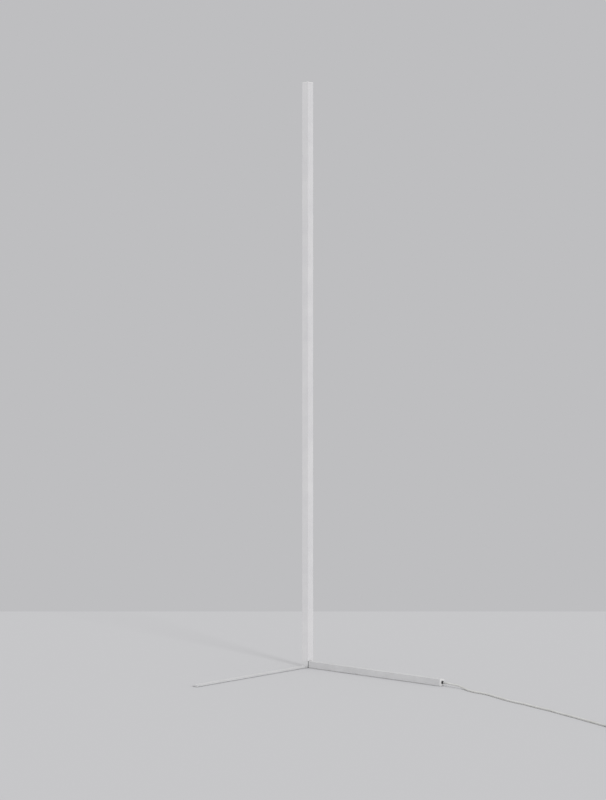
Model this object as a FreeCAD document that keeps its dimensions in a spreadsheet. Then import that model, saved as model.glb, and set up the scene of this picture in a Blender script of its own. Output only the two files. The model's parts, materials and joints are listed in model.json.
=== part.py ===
"""A floor lamp: a thin square stem, lit from its two rear faces, on a box leg and a flat leg.

The origin is on the floor under the middle of the stem. The box leg runs along +X, the flat leg
along -Y, and the opal cover is on the stem's -X and +Y faces. All sizes are in millimetres.
"""
import FreeCAD, Part
import math
import os
import Sketcher
from FreeCAD import Placement, Rotation, Vector

SIZES = {
    # The whole lamp
    "lamp_height": 1900,
    "fit_gap": 0.2,
    "thread_gap": 0.05,
    "overrun": 2,
    # The stem: two full walls, a slanted web that carries the light boards, and two lips
    "stem_side": 25,
    "stem_wall": 1.8,
    "stem_lip": 4,
    "web_set": 17,
    "web_step": 2.5,
    "port_side": 5,
    "opal_wall": 1.6,
    "snap_wall": 1.2,
    "snap_barb": 0.9,
    "cap_thick": 2,
    "cap_plug": 8,
    # The light boards
    "board_start": 48,
    "board_end_gap": 10,
    "board_screw_inset": 10,
    "chip_inset": 14,
    "board_gap": 2,
    "board_width": 12,
    "board_thick": 1.6,
    "chip_width": 3.5,
    "chip_tall": 2.8,
    "chip_thick": 0.8,
    "connector_width": 8,
    "connector_depth": 4.4,
    "connector_tall": 7,
    # The feet and the corner block
    "pad_thick": 1,
    "pad_round": 2,
    "corner_pad_side": 20,
    "end_pad_radius": 7,
    "end_pad_inset": 12,
    "tenon_height": 40,
    "spigot_length": 38,
    "lead_bore": 3,
    "lead_place_x": -3,
    "lead_place_y": 0.5,
    "lead_place_z": 15,
    # The flat leg
    "flat_width": 20,
    "flat_thick": 5,
    "flat_reach": 504,
    "flat_tail": 20,
    "flat_screw_inset": 5.5,
    "flat_round": 1,
    # The box leg
    "leg_side": 20,
    "leg_wall": 1.5,
    "leg_reach": 537,
    "gasket_thick": 2.5,
    "gasket_inset": 0.3,
    "end_cap_thick": 2,
    "end_cap_plug": 10,
    "end_cap_rim": 1.3,
    "tongue_length": 30,
    "tongue_width": 15,
    "tongue_thick": 2.5,
    "ballast_gap": 38,
    "ballast_end_gap": 25,
    "ballast_width": 16,
    "ballast_height": 9,
    "leg_screw_first": 14,
    "leg_screw_pitch": 16,
    # The driver in the box leg
    "driver_start": 60,
    "driver_length": 180,
    "driver_width": 16,
    "driver_height": 14,
    "driver_wall": 1.2,
    "circuit_lift": 1.5,
    "circuit_thick": 1.6,
    "transformer_length": 16,
    "transformer_width": 10.4,
    "transformer_height": 8,
    "capacitor_radius": 2.8,
    "capacitor_length": 14,
    "terminal_length": 10,
    "terminal_width": 11,
    "terminal_height": 6.5,
    "lead_exit_z": 9.5,
    # The cord, its collar and boot at the leg's end, and its clamp
    "cord_radius": 3,
    "core_radius": 1.2,
    "core_pitch": 2.6,
    "core_length": 10,
    "lead_radius": 0.8,
    "lead_pitch": 2,
    "collar_radius": 4.7,
    "collar_nose": 4.1,
    "collar_rise": 6,
    "collar_neck": 4.15,
    "collar_flange": 1.5,
    "boot_root": 3.5,
    "boot_tip": 3.3,
    "boot_flange": 4.6,
    "boot_flange_thick": 1.5,
    "boot_reach": 12.5,
    "boot_groove": 0.3,
    "boot_groove_pitch": 3,
    "clamp_length": 8,
    "clamp_roof": 1.4,
    "clamp_set": 9,
    "clamp_screw_pitch": 10.6,
    "inner_lift": 0.6,
    "cord_lead": 14,
    # Screws: head radius, head height, shank radius, length under or with the head, drive radius
    "bolt_head": 3.5,
    "bolt_head_tall": 4,
    "bolt_shank": 1.7,
    "bolt_length": 26,
    "bolt_drive": 1.7,
    "cap_screw_head": 3.4,
    "cap_screw_length": 14,
    "flat_screw_head": 3.8,
    "flat_screw_head_tall": 2.2,
    "flat_screw_shank": 2,
    "flat_screw_length": 9.5,
    "flat_screw_drive": 1.4,
    "small_head": 2.9,
    "small_head_tall": 1.4,
    "small_shank": 1.4,
    "small_length": 6,
    "small_drive": 1,
    "tiny_head": 1.9,
    "tiny_head_tall": 1.3,
    "tiny_shank": 0.9,
    "tiny_length": 3.2,
    "tiny_drive": 0.7,
    "clamp_screw_length": 9.2,
    # The foot switch
    "switch_length": 76,
    "switch_width": 36,
    "switch_height": 20,
    "switch_split": 8,
    "switch_wall": 2,
    "switch_edge": 2,
    "switch_boot_reach": 20,
    "switch_boot_inset": 1,
    "button_radius": 12,
    "button_lip": 2,
    "button_rise": 4,
    "button_travel": 3,
    "button_gap": 0.3,
    "button_edge": 0.8,
    "contact_length": 22,
    "contact_width": 18,
    "contact_height": 7,
    "spring_peg_radius": 2.6,
    "spring_peg_tall": 1.4,
    "spring_radius": 4,
    "spring_wire": 0.4,
    "post_radius": 3,
    "post_x": 21,
    "post_y": 10,
    # The put-away coil, its tie and the plug
    "link_run": 16,
    "coil_radius": 35,
    "coil_pitch": 6.5,
    "tie_thick": 1,
    "tie_width": 8,
    "tie_gap": 0.3,
    "tail_run": 16,
    "tail_side": 2,
    "plug_width": 35.3,
    "plug_thick": 13.7,
    "plug_front": 16,
    "plug_length": 36,
    "plug_rear": 11,
    "plug_boot_reach": 20,
    "plug_boot_root": 5,
    "plug_edge": 2,
    "pin_radius": 2,
    "pin_reach": 19,
    "pin_root": 6,
    "pin_root_radius": 1.5,
    "pin_pitch": 18.6,
}
BOARD_COUNT = 4
CHIPS_PER_BOARD = 15
STEM_SCREW_SHARES = (0.3, 0.75)
TRANSFORMER_SHARE = 0.42
CAPACITOR_SHARES = (0.24, 0.66)
BOOT_GROOVES = 4
BOOT_BEND = 5  # degrees that the cord's weight bends the boot down by
COIL_TURNS = 5.25
TIE_TURN = 0.5
SPRING_TURNS = 3.5
STEPS_PER_TURN = 4
CUT_SHARE = 0.45  # how much of the shorter run each arc of a bent tube takes
SLOPE_STEP_SHARE = 0.01  # the part of a turn over which a winding's direction is read
SLANT = 1 + math.sqrt(2)  # how far a gap moves a 45 degree corner along its straight side
DRIVE_DEPTH_SHARE = 0.6  # of a screw head's height
TINY = 1e-4  # two measured places closer than this are the same

doc = FreeCAD.newDocument("floor_lamp")
sheet = doc.addObject("Spreadsheet::Sheet", "Sizes")
for row, (alias, number) in enumerate(SIZES.items(), start=1):
    sheet.set(f"A{row}", alias)
    sheet.set(f"B{row}", str(number))
    sheet.setAlias(f"B{row}", alias)
doc.recompute()


class Size:
    """A length as a number, with the spreadsheet formula that gives it."""

    def __init__(self, value, formula):
        self.value = value
        self.formula = formula

    def __add__(self, other):
        return Size(self.value + number_of(other), f"({self.formula} + {formula_of(other)})")

    def __radd__(self, other):
        return Size(other + self.value, f"({formula_of(other)} + {self.formula})")

    def __sub__(self, other):
        return Size(self.value - number_of(other), f"({self.formula} - {formula_of(other)})")

    def __rsub__(self, other):
        return Size(other - self.value, f"({formula_of(other)} - {self.formula})")

    def __mul__(self, other):
        return Size(self.value * number_of(other), f"({self.formula} * {formula_of(other)})")

    def __truediv__(self, other):
        return Size(self.value / number_of(other), f"({self.formula} / {formula_of(other)})")

    def __neg__(self):
        return Size(-self.value, f"(0 - {self.formula})")


def number_of(size):
    return size.value if isinstance(size, Size) else size


def formula_of(size):
    return size.formula if isinstance(size, Size) else repr(size)


class Sheet:
    """The named sizes, read back from the spreadsheet."""

    def __getattr__(self, alias):
        return Size(float(sheet.get(alias)), f"Sizes.{alias}")


D = Sheet()
nodes = []
cuts = []


def bind(target, **formulas):
    """Ties properties of an object to sizes; x, y and z stand for its place."""
    for name, size in formulas.items():
        path = f"Placement.Base.{name}" if name in ("x", "y", "z") else name
        target.setExpression(path, formula_of(size))


def body(label, x=0, y=0, z=0, turn=0):
    """A new sub-part with its own frame at x, y, z, turned about +Z by turn degrees."""
    new = doc.addObject("PartDesign::Body", label)
    new.Label = label
    new.Placement = Placement(Vector(0, 0, 0), Rotation(Vector(0, 0, 1), turn))
    bind(new, x=x, y=y, z=z)
    nodes.append(new)
    return new


AXES = {
    "+Z": Rotation(),
    "-Z": Rotation(Vector(1, 0, 0), 180),
    "+X": Rotation(Vector(0, 1, 0), 90),
    "-X": Rotation(Vector(0, 1, 0), -90),
    "+Y": Rotation(Vector(1, 0, 0), -90),
}


def solid(owner, kind, x=0, y=0, z=0, along="+Z", **sizes):
    """Adds to a body, or cuts from it, a box, cylinder, cone or prism whose own Z runs along an axis."""
    new = owner.newObject(f"PartDesign::{kind}", f"{owner.Label}_{kind}")
    new.Placement = Placement(Vector(0, 0, 0), AXES[along])
    if kind.endswith("Prism"):
        new.Polygon = 6
    bind(new, x=x, y=y, z=z, **sizes)
    if kind.startswith("Subtractive"):
        cuts.append(new)
    return new


def plane(owner, role):
    return next(found for found in owner.Origin.OriginFeatures if found.Role == role)


def sketch_on(owner, role, name, lift=None):
    new = owner.newObject("Sketcher::SketchObject", f"{owner.Label}_{name}")
    new.AttachmentSupport = (plane(owner, role), [""])
    new.MapMode = "FlatFace"
    if lift is not None:
        new.setExpression("AttachmentOffset.Base.z", formula_of(lift))
    return new


def hold(drawing, line, end, x, y, only_x=False):
    """Holds a point of a sketch at its distances from the origin."""
    for kind, place, axis in (("DistanceX", x, -2), ("DistanceY", y, -1)):
        if only_x and kind == "DistanceY":
            continue
        if number_of(place) == 0:
            drawing.addConstraint(Sketcher.Constraint("PointOnObject", line, end, axis))
            continue
        index = drawing.addConstraint(
            Sketcher.Constraint(kind, -1, 1, line, end, number_of(place)))
        drawing.setExpression(f"Constraints[{index}]", formula_of(place))


def outline(drawing, points):
    """Closed straight lines through the points."""
    first = drawing.GeometryCount
    count = len(points)
    places = [Vector(number_of(x), number_of(y), 0) for x, y in points]
    for i in range(count):
        drawing.addGeometry(Part.LineSegment(places[i], places[(i + 1) % count]), False)
    for i in range(count):
        after = first + (i + 1) % count
        drawing.addConstraint(Sketcher.Constraint("Coincident", first + i, 2, after, 1))
    for i, (x, y) in enumerate(points):
        hold(drawing, first + i, 1, x, y)


def ring(drawing, x, y, radius):
    """A full circle."""
    centre = Vector(number_of(x), number_of(y), 0)
    circle = drawing.addGeometry(Part.Circle(centre, Vector(0, 0, 1), number_of(radius)), False)
    hold(drawing, circle, 3, x, y)
    index = drawing.addConstraint(Sketcher.Constraint("Radius", circle, number_of(radius)))
    drawing.setExpression(f"Constraints[{index}]", formula_of(radius))


def stadium(drawing, length, width):
    """A slot shape about the origin: two straight sides and two half-round ends."""
    reach = (length - width) / 2
    half = width / 2
    ends = []
    for side, start in ((1, -90), (-1, 90)):
        centre = Vector(side * number_of(reach), 0, 0)
        circle = Part.Circle(centre, Vector(0, 0, 1), number_of(half))
        arc = Part.ArcOfCircle(circle, math.radians(start), math.radians(start + 180))
        ends.append(drawing.addGeometry(arc, False))
    for i, side in enumerate((1, -1)):
        x = reach if side > 0 else -reach
        low = -half if side > 0 else half
        high = half if side > 0 else -half
        hold(drawing, ends[i], 1, x, low)
        hold(drawing, ends[i], 2, x, high)
        hold(drawing, ends[i], 3, x, 0, only_x=True)
    for i in range(2):
        a, b = ends[i], ends[1 - i]
        from_side = 1 if i == 0 else -1
        y = from_side * number_of(half)
        x = from_side * number_of(reach)
        line = drawing.addGeometry(Part.LineSegment(Vector(x, y, 0), Vector(-x, y, 0)), False)
        drawing.addConstraint(Sketcher.Constraint("Coincident", a, 2, line, 1))
        drawing.addConstraint(Sketcher.Constraint("Coincident", line, 2, b, 1))


def pad(owner, drawing, length, reverse=False):
    new = owner.newObject("PartDesign::Pad", f"{drawing.Label}_pad")
    new.Profile = drawing
    new.Reversed = reverse
    bind(new, Length=length)
    return new


def pocket(owner, drawing, length, reverse=False):
    new = owner.newObject("PartDesign::Pocket", f"{drawing.Label}_pocket")
    new.Profile = drawing
    new.Reversed = reverse
    bind(new, Length=length)
    cuts.append(new)
    return new


def turned(owner, points):
    """Turns an outline of (radius, height) points about the body's Z axis."""
    drawing = sketch_on(owner, "XZ_Plane", "profile")
    outline(drawing, points)
    new = owner.newObject("PartDesign::Revolution", f"{owner.Label}_turned")
    new.Profile = drawing
    new.ReferenceAxis = (drawing, ["V_Axis"])
    new.Angle = 360
    return new


def soften(owner, base, radius, wanted):
    """Rounds the edges of a body's feature that wanted(edge) picks."""
    doc.recompute()
    names = [f"Edge{i}" for i, edge in enumerate(base.Shape.Edges, start=1) if wanted(edge)]
    new = owner.newObject("PartDesign::Fillet", f"{owner.Label}_rounding")
    new.Base = (base, names)
    bind(new, Radius=radius)
    return new


def placed(label, pieces):
    """A sub-part whose solids are worked out from the named sizes in this file."""
    new = doc.addObject("Part::Feature", label)
    new.Label = label
    new.Shape = pieces[0] if len(pieces) == 1 else Part.makeCompound(pieces)
    nodes.append(new)
    return new


def copies(label, model, places):
    """Identical pieces as one sub-part: the model once for each placement."""
    doc.recompute()
    nodes.remove(model)
    pieces = []
    for place in places:
        piece = model.Shape.copy()
        piece.Placement = place.multiply(piece.Placement)
        pieces.append(piece)
    return placed(label, pieces)


def at(x, y, z, along="+Z", turn=0):
    """A placement: own Z along an axis, then turned about the world's Z, then moved."""
    spin = Rotation(Vector(0, 0, 1), turn).multiply(AXES[along])
    return Placement(Vector(number_of(x), number_of(y), number_of(z)), spin)


# Places that several pieces share

half = D.stem_side / 2
inner = half - D.stem_wall
base_top = D.pad_thick + D.leg_side
leg_middle_y = D.leg_side / 2 - half
leg_middle_z = D.pad_thick + D.leg_side / 2
leg_end = half + D.leg_reach
tube_start = half + D.gasket_thick
leg_floor = D.pad_thick + D.leg_wall
leg_inside = D.leg_side - D.leg_wall * 2
flat_middle_x = half - D.flat_width / 2
cap_face = leg_end - D.end_cap_thick
driver_x = half + D.driver_start
driver_end = driver_x + D.driver_length
ballast_x = driver_end + D.ballast_gap
ballast_end = cap_face - D.tongue_length - D.ballast_end_gap
port_x = inner - D.port_side / 2
board_web = inner - (D.web_set + D.web_step) / 2
stem_top = D.lamp_height - D.cap_thick
board_span = stem_top - D.board_end_gap - base_top - D.board_start
board_length = (board_span - D.board_gap * (BOARD_COUNT - 1)) / BOARD_COUNT
web_turn = 45  # degrees


# The stem

def cavity(gap):
    """The closed hollow between the stem's walls, web and screw port, drawn in by a gap."""
    slant = gap * SLANT
    return [
        (inner - gap, D.web_set - inner - slant),
        (inner - D.web_set + slant, gap - inner),
        (inner - D.port_side - gap, gap - inner),
        (inner - D.port_side - gap, D.port_side - inner + gap),
        (inner - gap, D.port_side - inner + gap),
    ]


def make_stem_profile():
    stem = body("stem_profile", z=base_top)
    drawing = sketch_on(stem, "XY_Plane", "section")
    web = D.web_set + D.web_step
    outline(drawing, [
        (half, -half),
        (half, half),
        (half - D.stem_lip, half),
        (half - D.stem_lip, inner),
        (inner, inner),
        (inner, web - inner),
        (inner - web, -inner),
        (-inner, -inner),
        (-inner, D.stem_lip - half),
        (-half, D.stem_lip - half),
        (-half, -half),
    ])
    outline(drawing, cavity(0))
    ring(drawing, port_x, -port_x, D.bolt_shank + D.thread_gap)
    pad(stem, drawing, stem_top - base_top)
    for share in STEM_SCREW_SHARES:
        web_hole(stem, D.tenon_height * share, D.small_shank, D.small_head, D.small_head_tall)
    for foot in board_feet():
        for height in (D.board_screw_inset, board_length - D.board_screw_inset):
            web_hole(stem, foot + height - base_top, D.tiny_shank)


def web_hole(stem, height, shank, head=None, head_tall=None):
    """A hole through the slanted web, square to it from the lit side, and countersunk for a head."""
    across = Rotation(Vector(0, 0, 1), web_turn).multiply(Rotation(Vector(1, 0, 0), 90))
    steps = [("SubtractiveCylinder", {"Radius": shank + D.thread_gap, "Height": D.web_step})]
    if head:
        steps.append(("SubtractiveCone", {
            "Radius1": head + D.thread_gap, "Radius2": shank + D.thread_gap, "Height": head_tall}))
    for kind, sizes in steps:
        cut = solid(stem, kind, board_web, -board_web, height, **sizes)
        cut.Placement = Placement(cut.Placement.Base, across)


def make_stem_diffuser():
    opal = body("stem_diffuser", z=base_top)
    drawing = sketch_on(opal, "XY_Plane", "section")
    edge = half - D.stem_lip - D.fit_gap
    hook = inner - D.fit_gap
    side = [
        (edge, half),
        (edge, hook),
        (edge + D.snap_barb, hook),
        (edge + D.snap_barb, hook - D.snap_barb),
        (edge - D.snap_wall, hook - D.snap_barb * 2),
        (edge - D.snap_wall, half - D.opal_wall),
    ]
    other_side = [(-y, -x) for x, y in reversed(side)]
    outline(drawing, [(-half, half)] + side + [(D.opal_wall - half, half - D.opal_wall)] + other_side)
    pad(opal, drawing, stem_top - base_top)


def make_top_cap():
    cap = body("top_cap", z=stem_top)
    solid(cap, "AdditiveBox", -half, -half, Length=D.stem_side, Width=D.stem_side, Height=D.cap_thick)
    drawing = sketch_on(cap, "XY_Plane", "plug")
    outline(drawing, cavity(D.fit_gap))
    pad(cap, drawing, D.cap_plug, reverse=True)
    solid(cap, "SubtractiveCylinder", port_x, -port_x, -D.overrun, Radius=D.bolt_shank + D.fit_gap,
          Height=D.cap_thick + D.overrun * 2)
    solid(cap, "SubtractiveCone", port_x, -port_x, 0, Radius1=D.bolt_shank + D.fit_gap,
          Radius2=D.cap_screw_head + D.thread_gap, Height=D.cap_thick)


def web_frame(across, out, z):
    """A placement on the web's lit face: own X across the web, own Y out of it, own Z up."""
    spin = Rotation(Vector(0, 0, 1), web_turn)
    middle = number_of(board_web)
    base = Vector(middle, -middle, number_of(z))
    return Placement(base.add(spin.multVec(Vector(number_of(across), number_of(out), 0))), spin)


def board_feet():
    """Heights at which the light boards start."""
    return [base_top + D.board_start + (board_length + D.board_gap) * i for i in range(BOARD_COUNT)]


def make_light_boards():
    length, inset = number_of(board_length), number_of(D.board_screw_inset)
    chip_inset = number_of(D.chip_inset)
    width, thick = number_of(D.board_width), number_of(D.board_thick)
    chip = [number_of(size) for size in (D.chip_width, D.chip_thick, D.chip_tall)]
    boards, chips, screws = [], [], []
    for foot in map(number_of, board_feet()):
        board = Part.makeBox(width, thick, length)
        board.Placement = web_frame(-width / 2, 0, foot)
        for height in (foot + inset, foot + length - inset):
            screws.append(web_frame(0, thick, height))
            hole = Part.makeCylinder(
                number_of(D.tiny_shank + D.thread_gap), thick + 2 * number_of(D.overrun))
            hole.Placement = web_frame(0, thick + number_of(D.overrun), height).multiply(
                Placement(Vector(0, 0, 0), Rotation(Vector(1, 0, 0), 90)))
            board = board.cut(hole)
        boards.append(board)
        for j in range(CHIPS_PER_BOARD):
            light = Part.makeBox(*chip)
            share = (j + 0.5) / CHIPS_PER_BOARD
            height = foot + chip_inset + share * (length - 2 * chip_inset) - chip[2] / 2
            light.Placement = web_frame(-chip[0] / 2, thick, height)
            chips.append(light)
    placed("led_boards", boards)
    placed("led_chips", chips)
    connector = body("led_connector", board_web, -board_web, base_top + D.board_start, web_turn)
    solid(connector, "AdditiveBox", -D.connector_width / 2, D.board_thick, 0,
          Length=D.connector_width, Width=D.connector_depth, Height=D.connector_tall)
    return screws


# Screws: a model is turned with its head's outer face at Z = 0 and its tip down

def screw(label, head, head_tall, shank, length, drive, pan=False):
    """A countersunk screw, or a pan head one whose head stands above Z = 0, with a hexagonal drive."""
    model = body(label)
    top = head_tall if pan else 0
    if pan:
        points = [(0, -length), (shank, -length), (shank, 0), (head, 0), (head, head_tall),
                  (0, head_tall)]
    else:
        points = [(0, -length), (shank, -length), (shank, -head_tall), (head, 0), (0, 0)]
    turned(model, points)
    solid(model, "SubtractivePrism", 0, 0, top - head_tall * DRIVE_DEPTH_SHARE, Circumradius=drive,
          Height=head_tall)
    return model


def make_stem_fixings(board_screws):
    bolt = screw("stem_bolt_model", D.bolt_head, D.bolt_head_tall, D.bolt_shank, D.bolt_length,
                 D.bolt_drive, pan=True)
    seat = D.pad_thick + D.flat_thick + D.bolt_head_tall + D.fit_gap
    copies("stem_bolt", bolt, [at(port_x, -port_x, seat, "-Z")])
    cap_screw = screw("top_cap_screw_model", D.cap_screw_head, D.cap_thick, D.bolt_shank,
                      D.cap_screw_length, D.bolt_drive)
    copies("top_cap_screw", cap_screw, [at(port_x, -port_x, D.lamp_height)])
    into_web = Placement(Vector(0, 0, 0), Rotation(Vector(1, 0, 0), -90))
    small = screw("stem_screw_model", D.small_head, D.small_head_tall, D.small_shank, D.small_length,
                  D.small_drive)
    copies("stem_screws", small, [
        web_frame(0, 0, base_top + D.tenon_height * share).multiply(into_web)
        for share in STEM_SCREW_SHARES])
    tiny = screw("board_screw_model", D.tiny_head, D.tiny_head_tall, D.tiny_shank, D.tiny_length,
                 D.tiny_drive, pan=True)
    copies("board_screws", tiny, [place.multiply(into_web) for place in board_screws])


# The corner block and the feet

def make_corner_block():
    block = body("corner_block")
    solid(block, "AdditiveBox", -half, -half, D.pad_thick, Length=D.stem_side, Width=D.stem_side,
          Height=D.leg_side)
    plug = leg_inside - D.fit_gap * 2
    solid(block, "AdditiveBox", half - D.leg_wall, leg_middle_y - plug / 2, leg_middle_z - plug / 2,
          Length=D.spigot_length + D.leg_wall, Width=plug, Height=plug)
    drawing = sketch_on(block, "XY_Plane", "tenon", lift=base_top)
    outline(drawing, cavity(D.fit_gap))
    pad(block, drawing, D.tenon_height)
    solid(block, "SubtractiveBox", flat_middle_x - D.flat_width / 2 - D.fit_gap, -half - D.overrun,
          D.pad_thick - D.overrun, Length=D.flat_width + D.fit_gap,
          Width=D.flat_tail + D.fit_gap + D.overrun, Height=D.flat_thick + D.overrun)
    solid(block, "SubtractiveCylinder", D.lead_place_x, D.lead_place_y, D.lead_place_z,
          Radius=D.lead_bore, Height=base_top - D.lead_place_z + D.overrun)
    solid(block, "SubtractiveCylinder", D.lead_place_x - D.lead_bore, D.lead_place_y, D.lead_place_z,
          "+X", Radius=D.lead_bore, Height=half + D.spigot_length - D.lead_place_x + D.lead_bore
          + D.overrun)
    flat_top = D.pad_thick + D.flat_thick
    solid(block, "SubtractiveCylinder", port_x, -port_x, flat_top - D.overrun,
          Radius=D.bolt_shank + D.fit_gap, Height=D.leg_side)
    solid(block, "SubtractiveCylinder", port_x, -port_x, flat_top - D.overrun,
          Radius=D.bolt_head + D.fit_gap, Height=D.bolt_head_tall + D.fit_gap + D.overrun)
    for x, y in flat_screw_places():
        solid(block, "SubtractiveCylinder", x, y, flat_top - D.overrun,
              Radius=D.flat_screw_shank + D.thread_gap,
              Height=D.flat_screw_length - D.flat_thick + D.overrun + D.fit_gap)
    for x in leg_screw_places()[:2]:
        solid(block, "SubtractiveCylinder", x, leg_middle_y, D.pad_thick,
              Radius=D.small_shank + D.thread_gap, Height=D.small_length + D.fit_gap)
    tilt = Rotation(Vector(0, 0, 1), web_turn).multiply(Rotation(Vector(1, 0, 0), 90))
    for share in STEM_SCREW_SHARES:
        cut = solid(block, "SubtractiveCylinder", board_web, -board_web,
                    base_top + D.tenon_height * share, Radius=D.small_shank + D.thread_gap,
                    Height=D.small_length + D.fit_gap)
        cut.Placement = Placement(cut.Placement.Base, tilt)


def flat_screw_places():
    inset = D.flat_screw_inset
    return [
        (half - D.flat_width + inset, inset - half),
        (half - inset, D.flat_tail - half - inset),
    ]


def leg_screw_places():
    """Two screws into the block's spigot, one into the ballast, one into the end cap."""
    return [
        half + D.leg_screw_first,
        half + D.leg_screw_first + D.leg_screw_pitch,
        (ballast_x + ballast_end) / 2,
        cap_face - D.end_cap_plug / 2,
    ]


def make_feet():
    corner = body("corner_pad")
    side = D.corner_pad_side
    pad_box = solid(corner, "AdditiveBox", -side / 2, -side / 2, Length=side, Width=side,
                    Height=D.pad_thick)
    soften(corner, pad_box, D.pad_round, upright)
    model = body("end_pad_model")
    solid(model, "AdditiveCylinder", Radius=D.end_pad_radius, Height=D.pad_thick)
    copies("end_pads", model, [
        at(leg_end - D.end_pad_inset, leg_middle_y, 0),
        at(flat_middle_x, D.end_pad_inset - half - D.flat_reach, 0)])


def upright(edge):
    """Picks straight edges that run along Z."""
    if edge.Curve.TypeId != "Part::GeomLine":
        return False
    return abs(edge.Curve.Direction.z) == 1


# The two legs

def make_flat_leg():
    flat = body("flat_leg", flat_middle_x, -half - D.flat_reach, D.pad_thick)
    bar = solid(flat, "AdditiveBox", -D.flat_width / 2, Length=D.flat_width,
                Width=D.flat_reach + D.flat_tail, Height=D.flat_thick)
    soften(flat, bar, D.flat_round, far_end_upright)
    for x, y in flat_screw_places():
        x, y = x - flat_middle_x, y + half + D.flat_reach
        solid(flat, "SubtractiveCylinder", x, y, -D.overrun, Radius=D.flat_screw_shank + D.fit_gap,
              Height=D.flat_thick + D.overrun * 2)
        solid(flat, "SubtractiveCone", x, y, 0, Radius1=D.flat_screw_head + D.thread_gap,
              Radius2=D.flat_screw_shank + D.thread_gap, Height=D.flat_screw_head_tall)
    model = screw("flat_leg_screw_model", D.flat_screw_head, D.flat_screw_head_tall,
                  D.flat_screw_shank, D.flat_screw_length, D.flat_screw_drive)
    copies("flat_leg_screws", model, [
        at(x, y, D.pad_thick, "-Z") for x, y in flat_screw_places()])


def far_end_upright(edge):
    """Picks the two upright corners at the bar's free end, which is at Y = 0 in its own frame."""
    return upright(edge) and abs(edge.CenterOfMass.y) < number_of(D.flat_thick)


def square_ring(owner, outside, inside, length):
    """A square tube along +X from the body's origin."""
    drawing = sketch_on(owner, "YZ_Plane", "section")
    for side in (outside, inside):
        edge = side / 2
        outline(drawing, [(-edge, -edge), (edge, -edge), (edge, edge), (-edge, edge)])
    pad(owner, drawing, length)


def make_leg_gasket():
    """The dark ring between the corner block and the box leg, round the block's spigot."""
    gasket = body("leg_gasket", half, leg_middle_y, leg_middle_z)
    square_ring(gasket, D.leg_side - D.gasket_inset * 2, leg_inside, D.gasket_thick)


def make_leg_tube():
    tube = body("leg_tube", tube_start, leg_middle_y, leg_middle_z)
    square_ring(tube, D.leg_side, leg_inside, cap_face - tube_start)
    for x in leg_screw_places():
        solid(tube, "SubtractiveCylinder", x - tube_start, 0, -D.leg_side / 2 - D.overrun,
              Radius=D.small_shank + D.thread_gap, Height=D.leg_wall + D.overrun * 2)
        solid(tube, "SubtractiveCone", x - tube_start, 0, -D.leg_side / 2,
              Radius1=D.small_head + D.thread_gap, Radius2=D.small_shank + D.thread_gap,
              Height=D.small_head_tall)
    model = screw("leg_screw_model", D.small_head, D.small_head_tall, D.small_shank,
                  D.small_length, D.small_drive)
    copies("leg_screws", model, [
        at(x, leg_middle_y, D.pad_thick, "-Z") for x in leg_screw_places()])


def make_ballast():
    ballast = body("ballast_bar", ballast_x, leg_middle_y, leg_floor)
    solid(ballast, "AdditiveBox", 0, -D.ballast_width / 2, 0, Length=ballast_end - ballast_x,
          Width=D.ballast_width, Height=D.ballast_height)
    solid(ballast, "SubtractiveCylinder", (ballast_end - ballast_x) / 2, 0, -D.overrun,
          Radius=D.small_shank + D.thread_gap,
          Height=D.small_length - D.leg_wall + D.overrun + D.fit_gap)


# The end cap with its collar, boot and cord clamp

tongue_top = leg_middle_z - D.cord_radius - D.fit_gap
clamp_middle = cap_face - D.tongue_length + D.clamp_set


def make_leg_end_cap():
    cap = body("leg_end_cap", cap_face, leg_middle_y, leg_middle_z)
    edge = D.leg_side / 2
    solid(cap, "AdditiveBox", 0, -edge, -edge, Length=D.end_cap_thick, Width=D.leg_side,
          Height=D.leg_side)
    plug = leg_inside / 2 - D.fit_gap
    solid(cap, "AdditiveBox", -D.end_cap_plug, -plug, -plug, Length=D.end_cap_plug, Width=plug * 2,
          Height=plug * 2)
    hollow = plug - D.end_cap_rim
    solid(cap, "SubtractiveBox", -D.end_cap_plug - D.overrun, -hollow, -hollow,
          Length=D.end_cap_plug + D.overrun, Width=hollow * 2, Height=hollow * 2)
    tongue = tongue_top - leg_middle_z
    solid(cap, "AdditiveBox", -D.tongue_length, -D.tongue_width / 2, tongue - D.tongue_thick,
          Length=D.tongue_length - D.boot_flange_thick - D.collar_flange, Width=D.tongue_width,
          Height=D.tongue_thick)
    solid(cap, "AdditiveBox", -D.end_cap_plug, -D.tongue_width / 2, -plug,
          Length=D.end_cap_plug, Width=D.tongue_width,
          Height=plug - D.collar_radius - D.fit_gap)
    solid(cap, "AdditiveBox", -D.end_cap_plug, -D.tongue_width / 2, -plug,
          Length=D.end_cap_plug - D.boot_flange_thick - D.collar_flange - D.fit_gap,
          Width=D.tongue_width, Height=plug + tongue)
    solid(cap, "SubtractiveCylinder", -D.overrun, 0, 0, "+X", Radius=D.collar_neck,
          Height=D.end_cap_thick + D.overrun * 2)
    solid(cap, "SubtractiveCylinder", -D.end_cap_plug / 2, 0, -edge,
          Radius=D.small_shank + D.thread_gap, Height=D.small_length + D.fit_gap)
    for side in (-1, 1):
        solid(cap, "SubtractiveCylinder", clamp_middle - cap_face, D.clamp_screw_pitch / 2 * side,
              tongue - D.tongue_thick - D.overrun, Radius=D.tiny_shank + D.thread_gap,
              Height=D.tongue_thick + D.overrun * 2)


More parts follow.
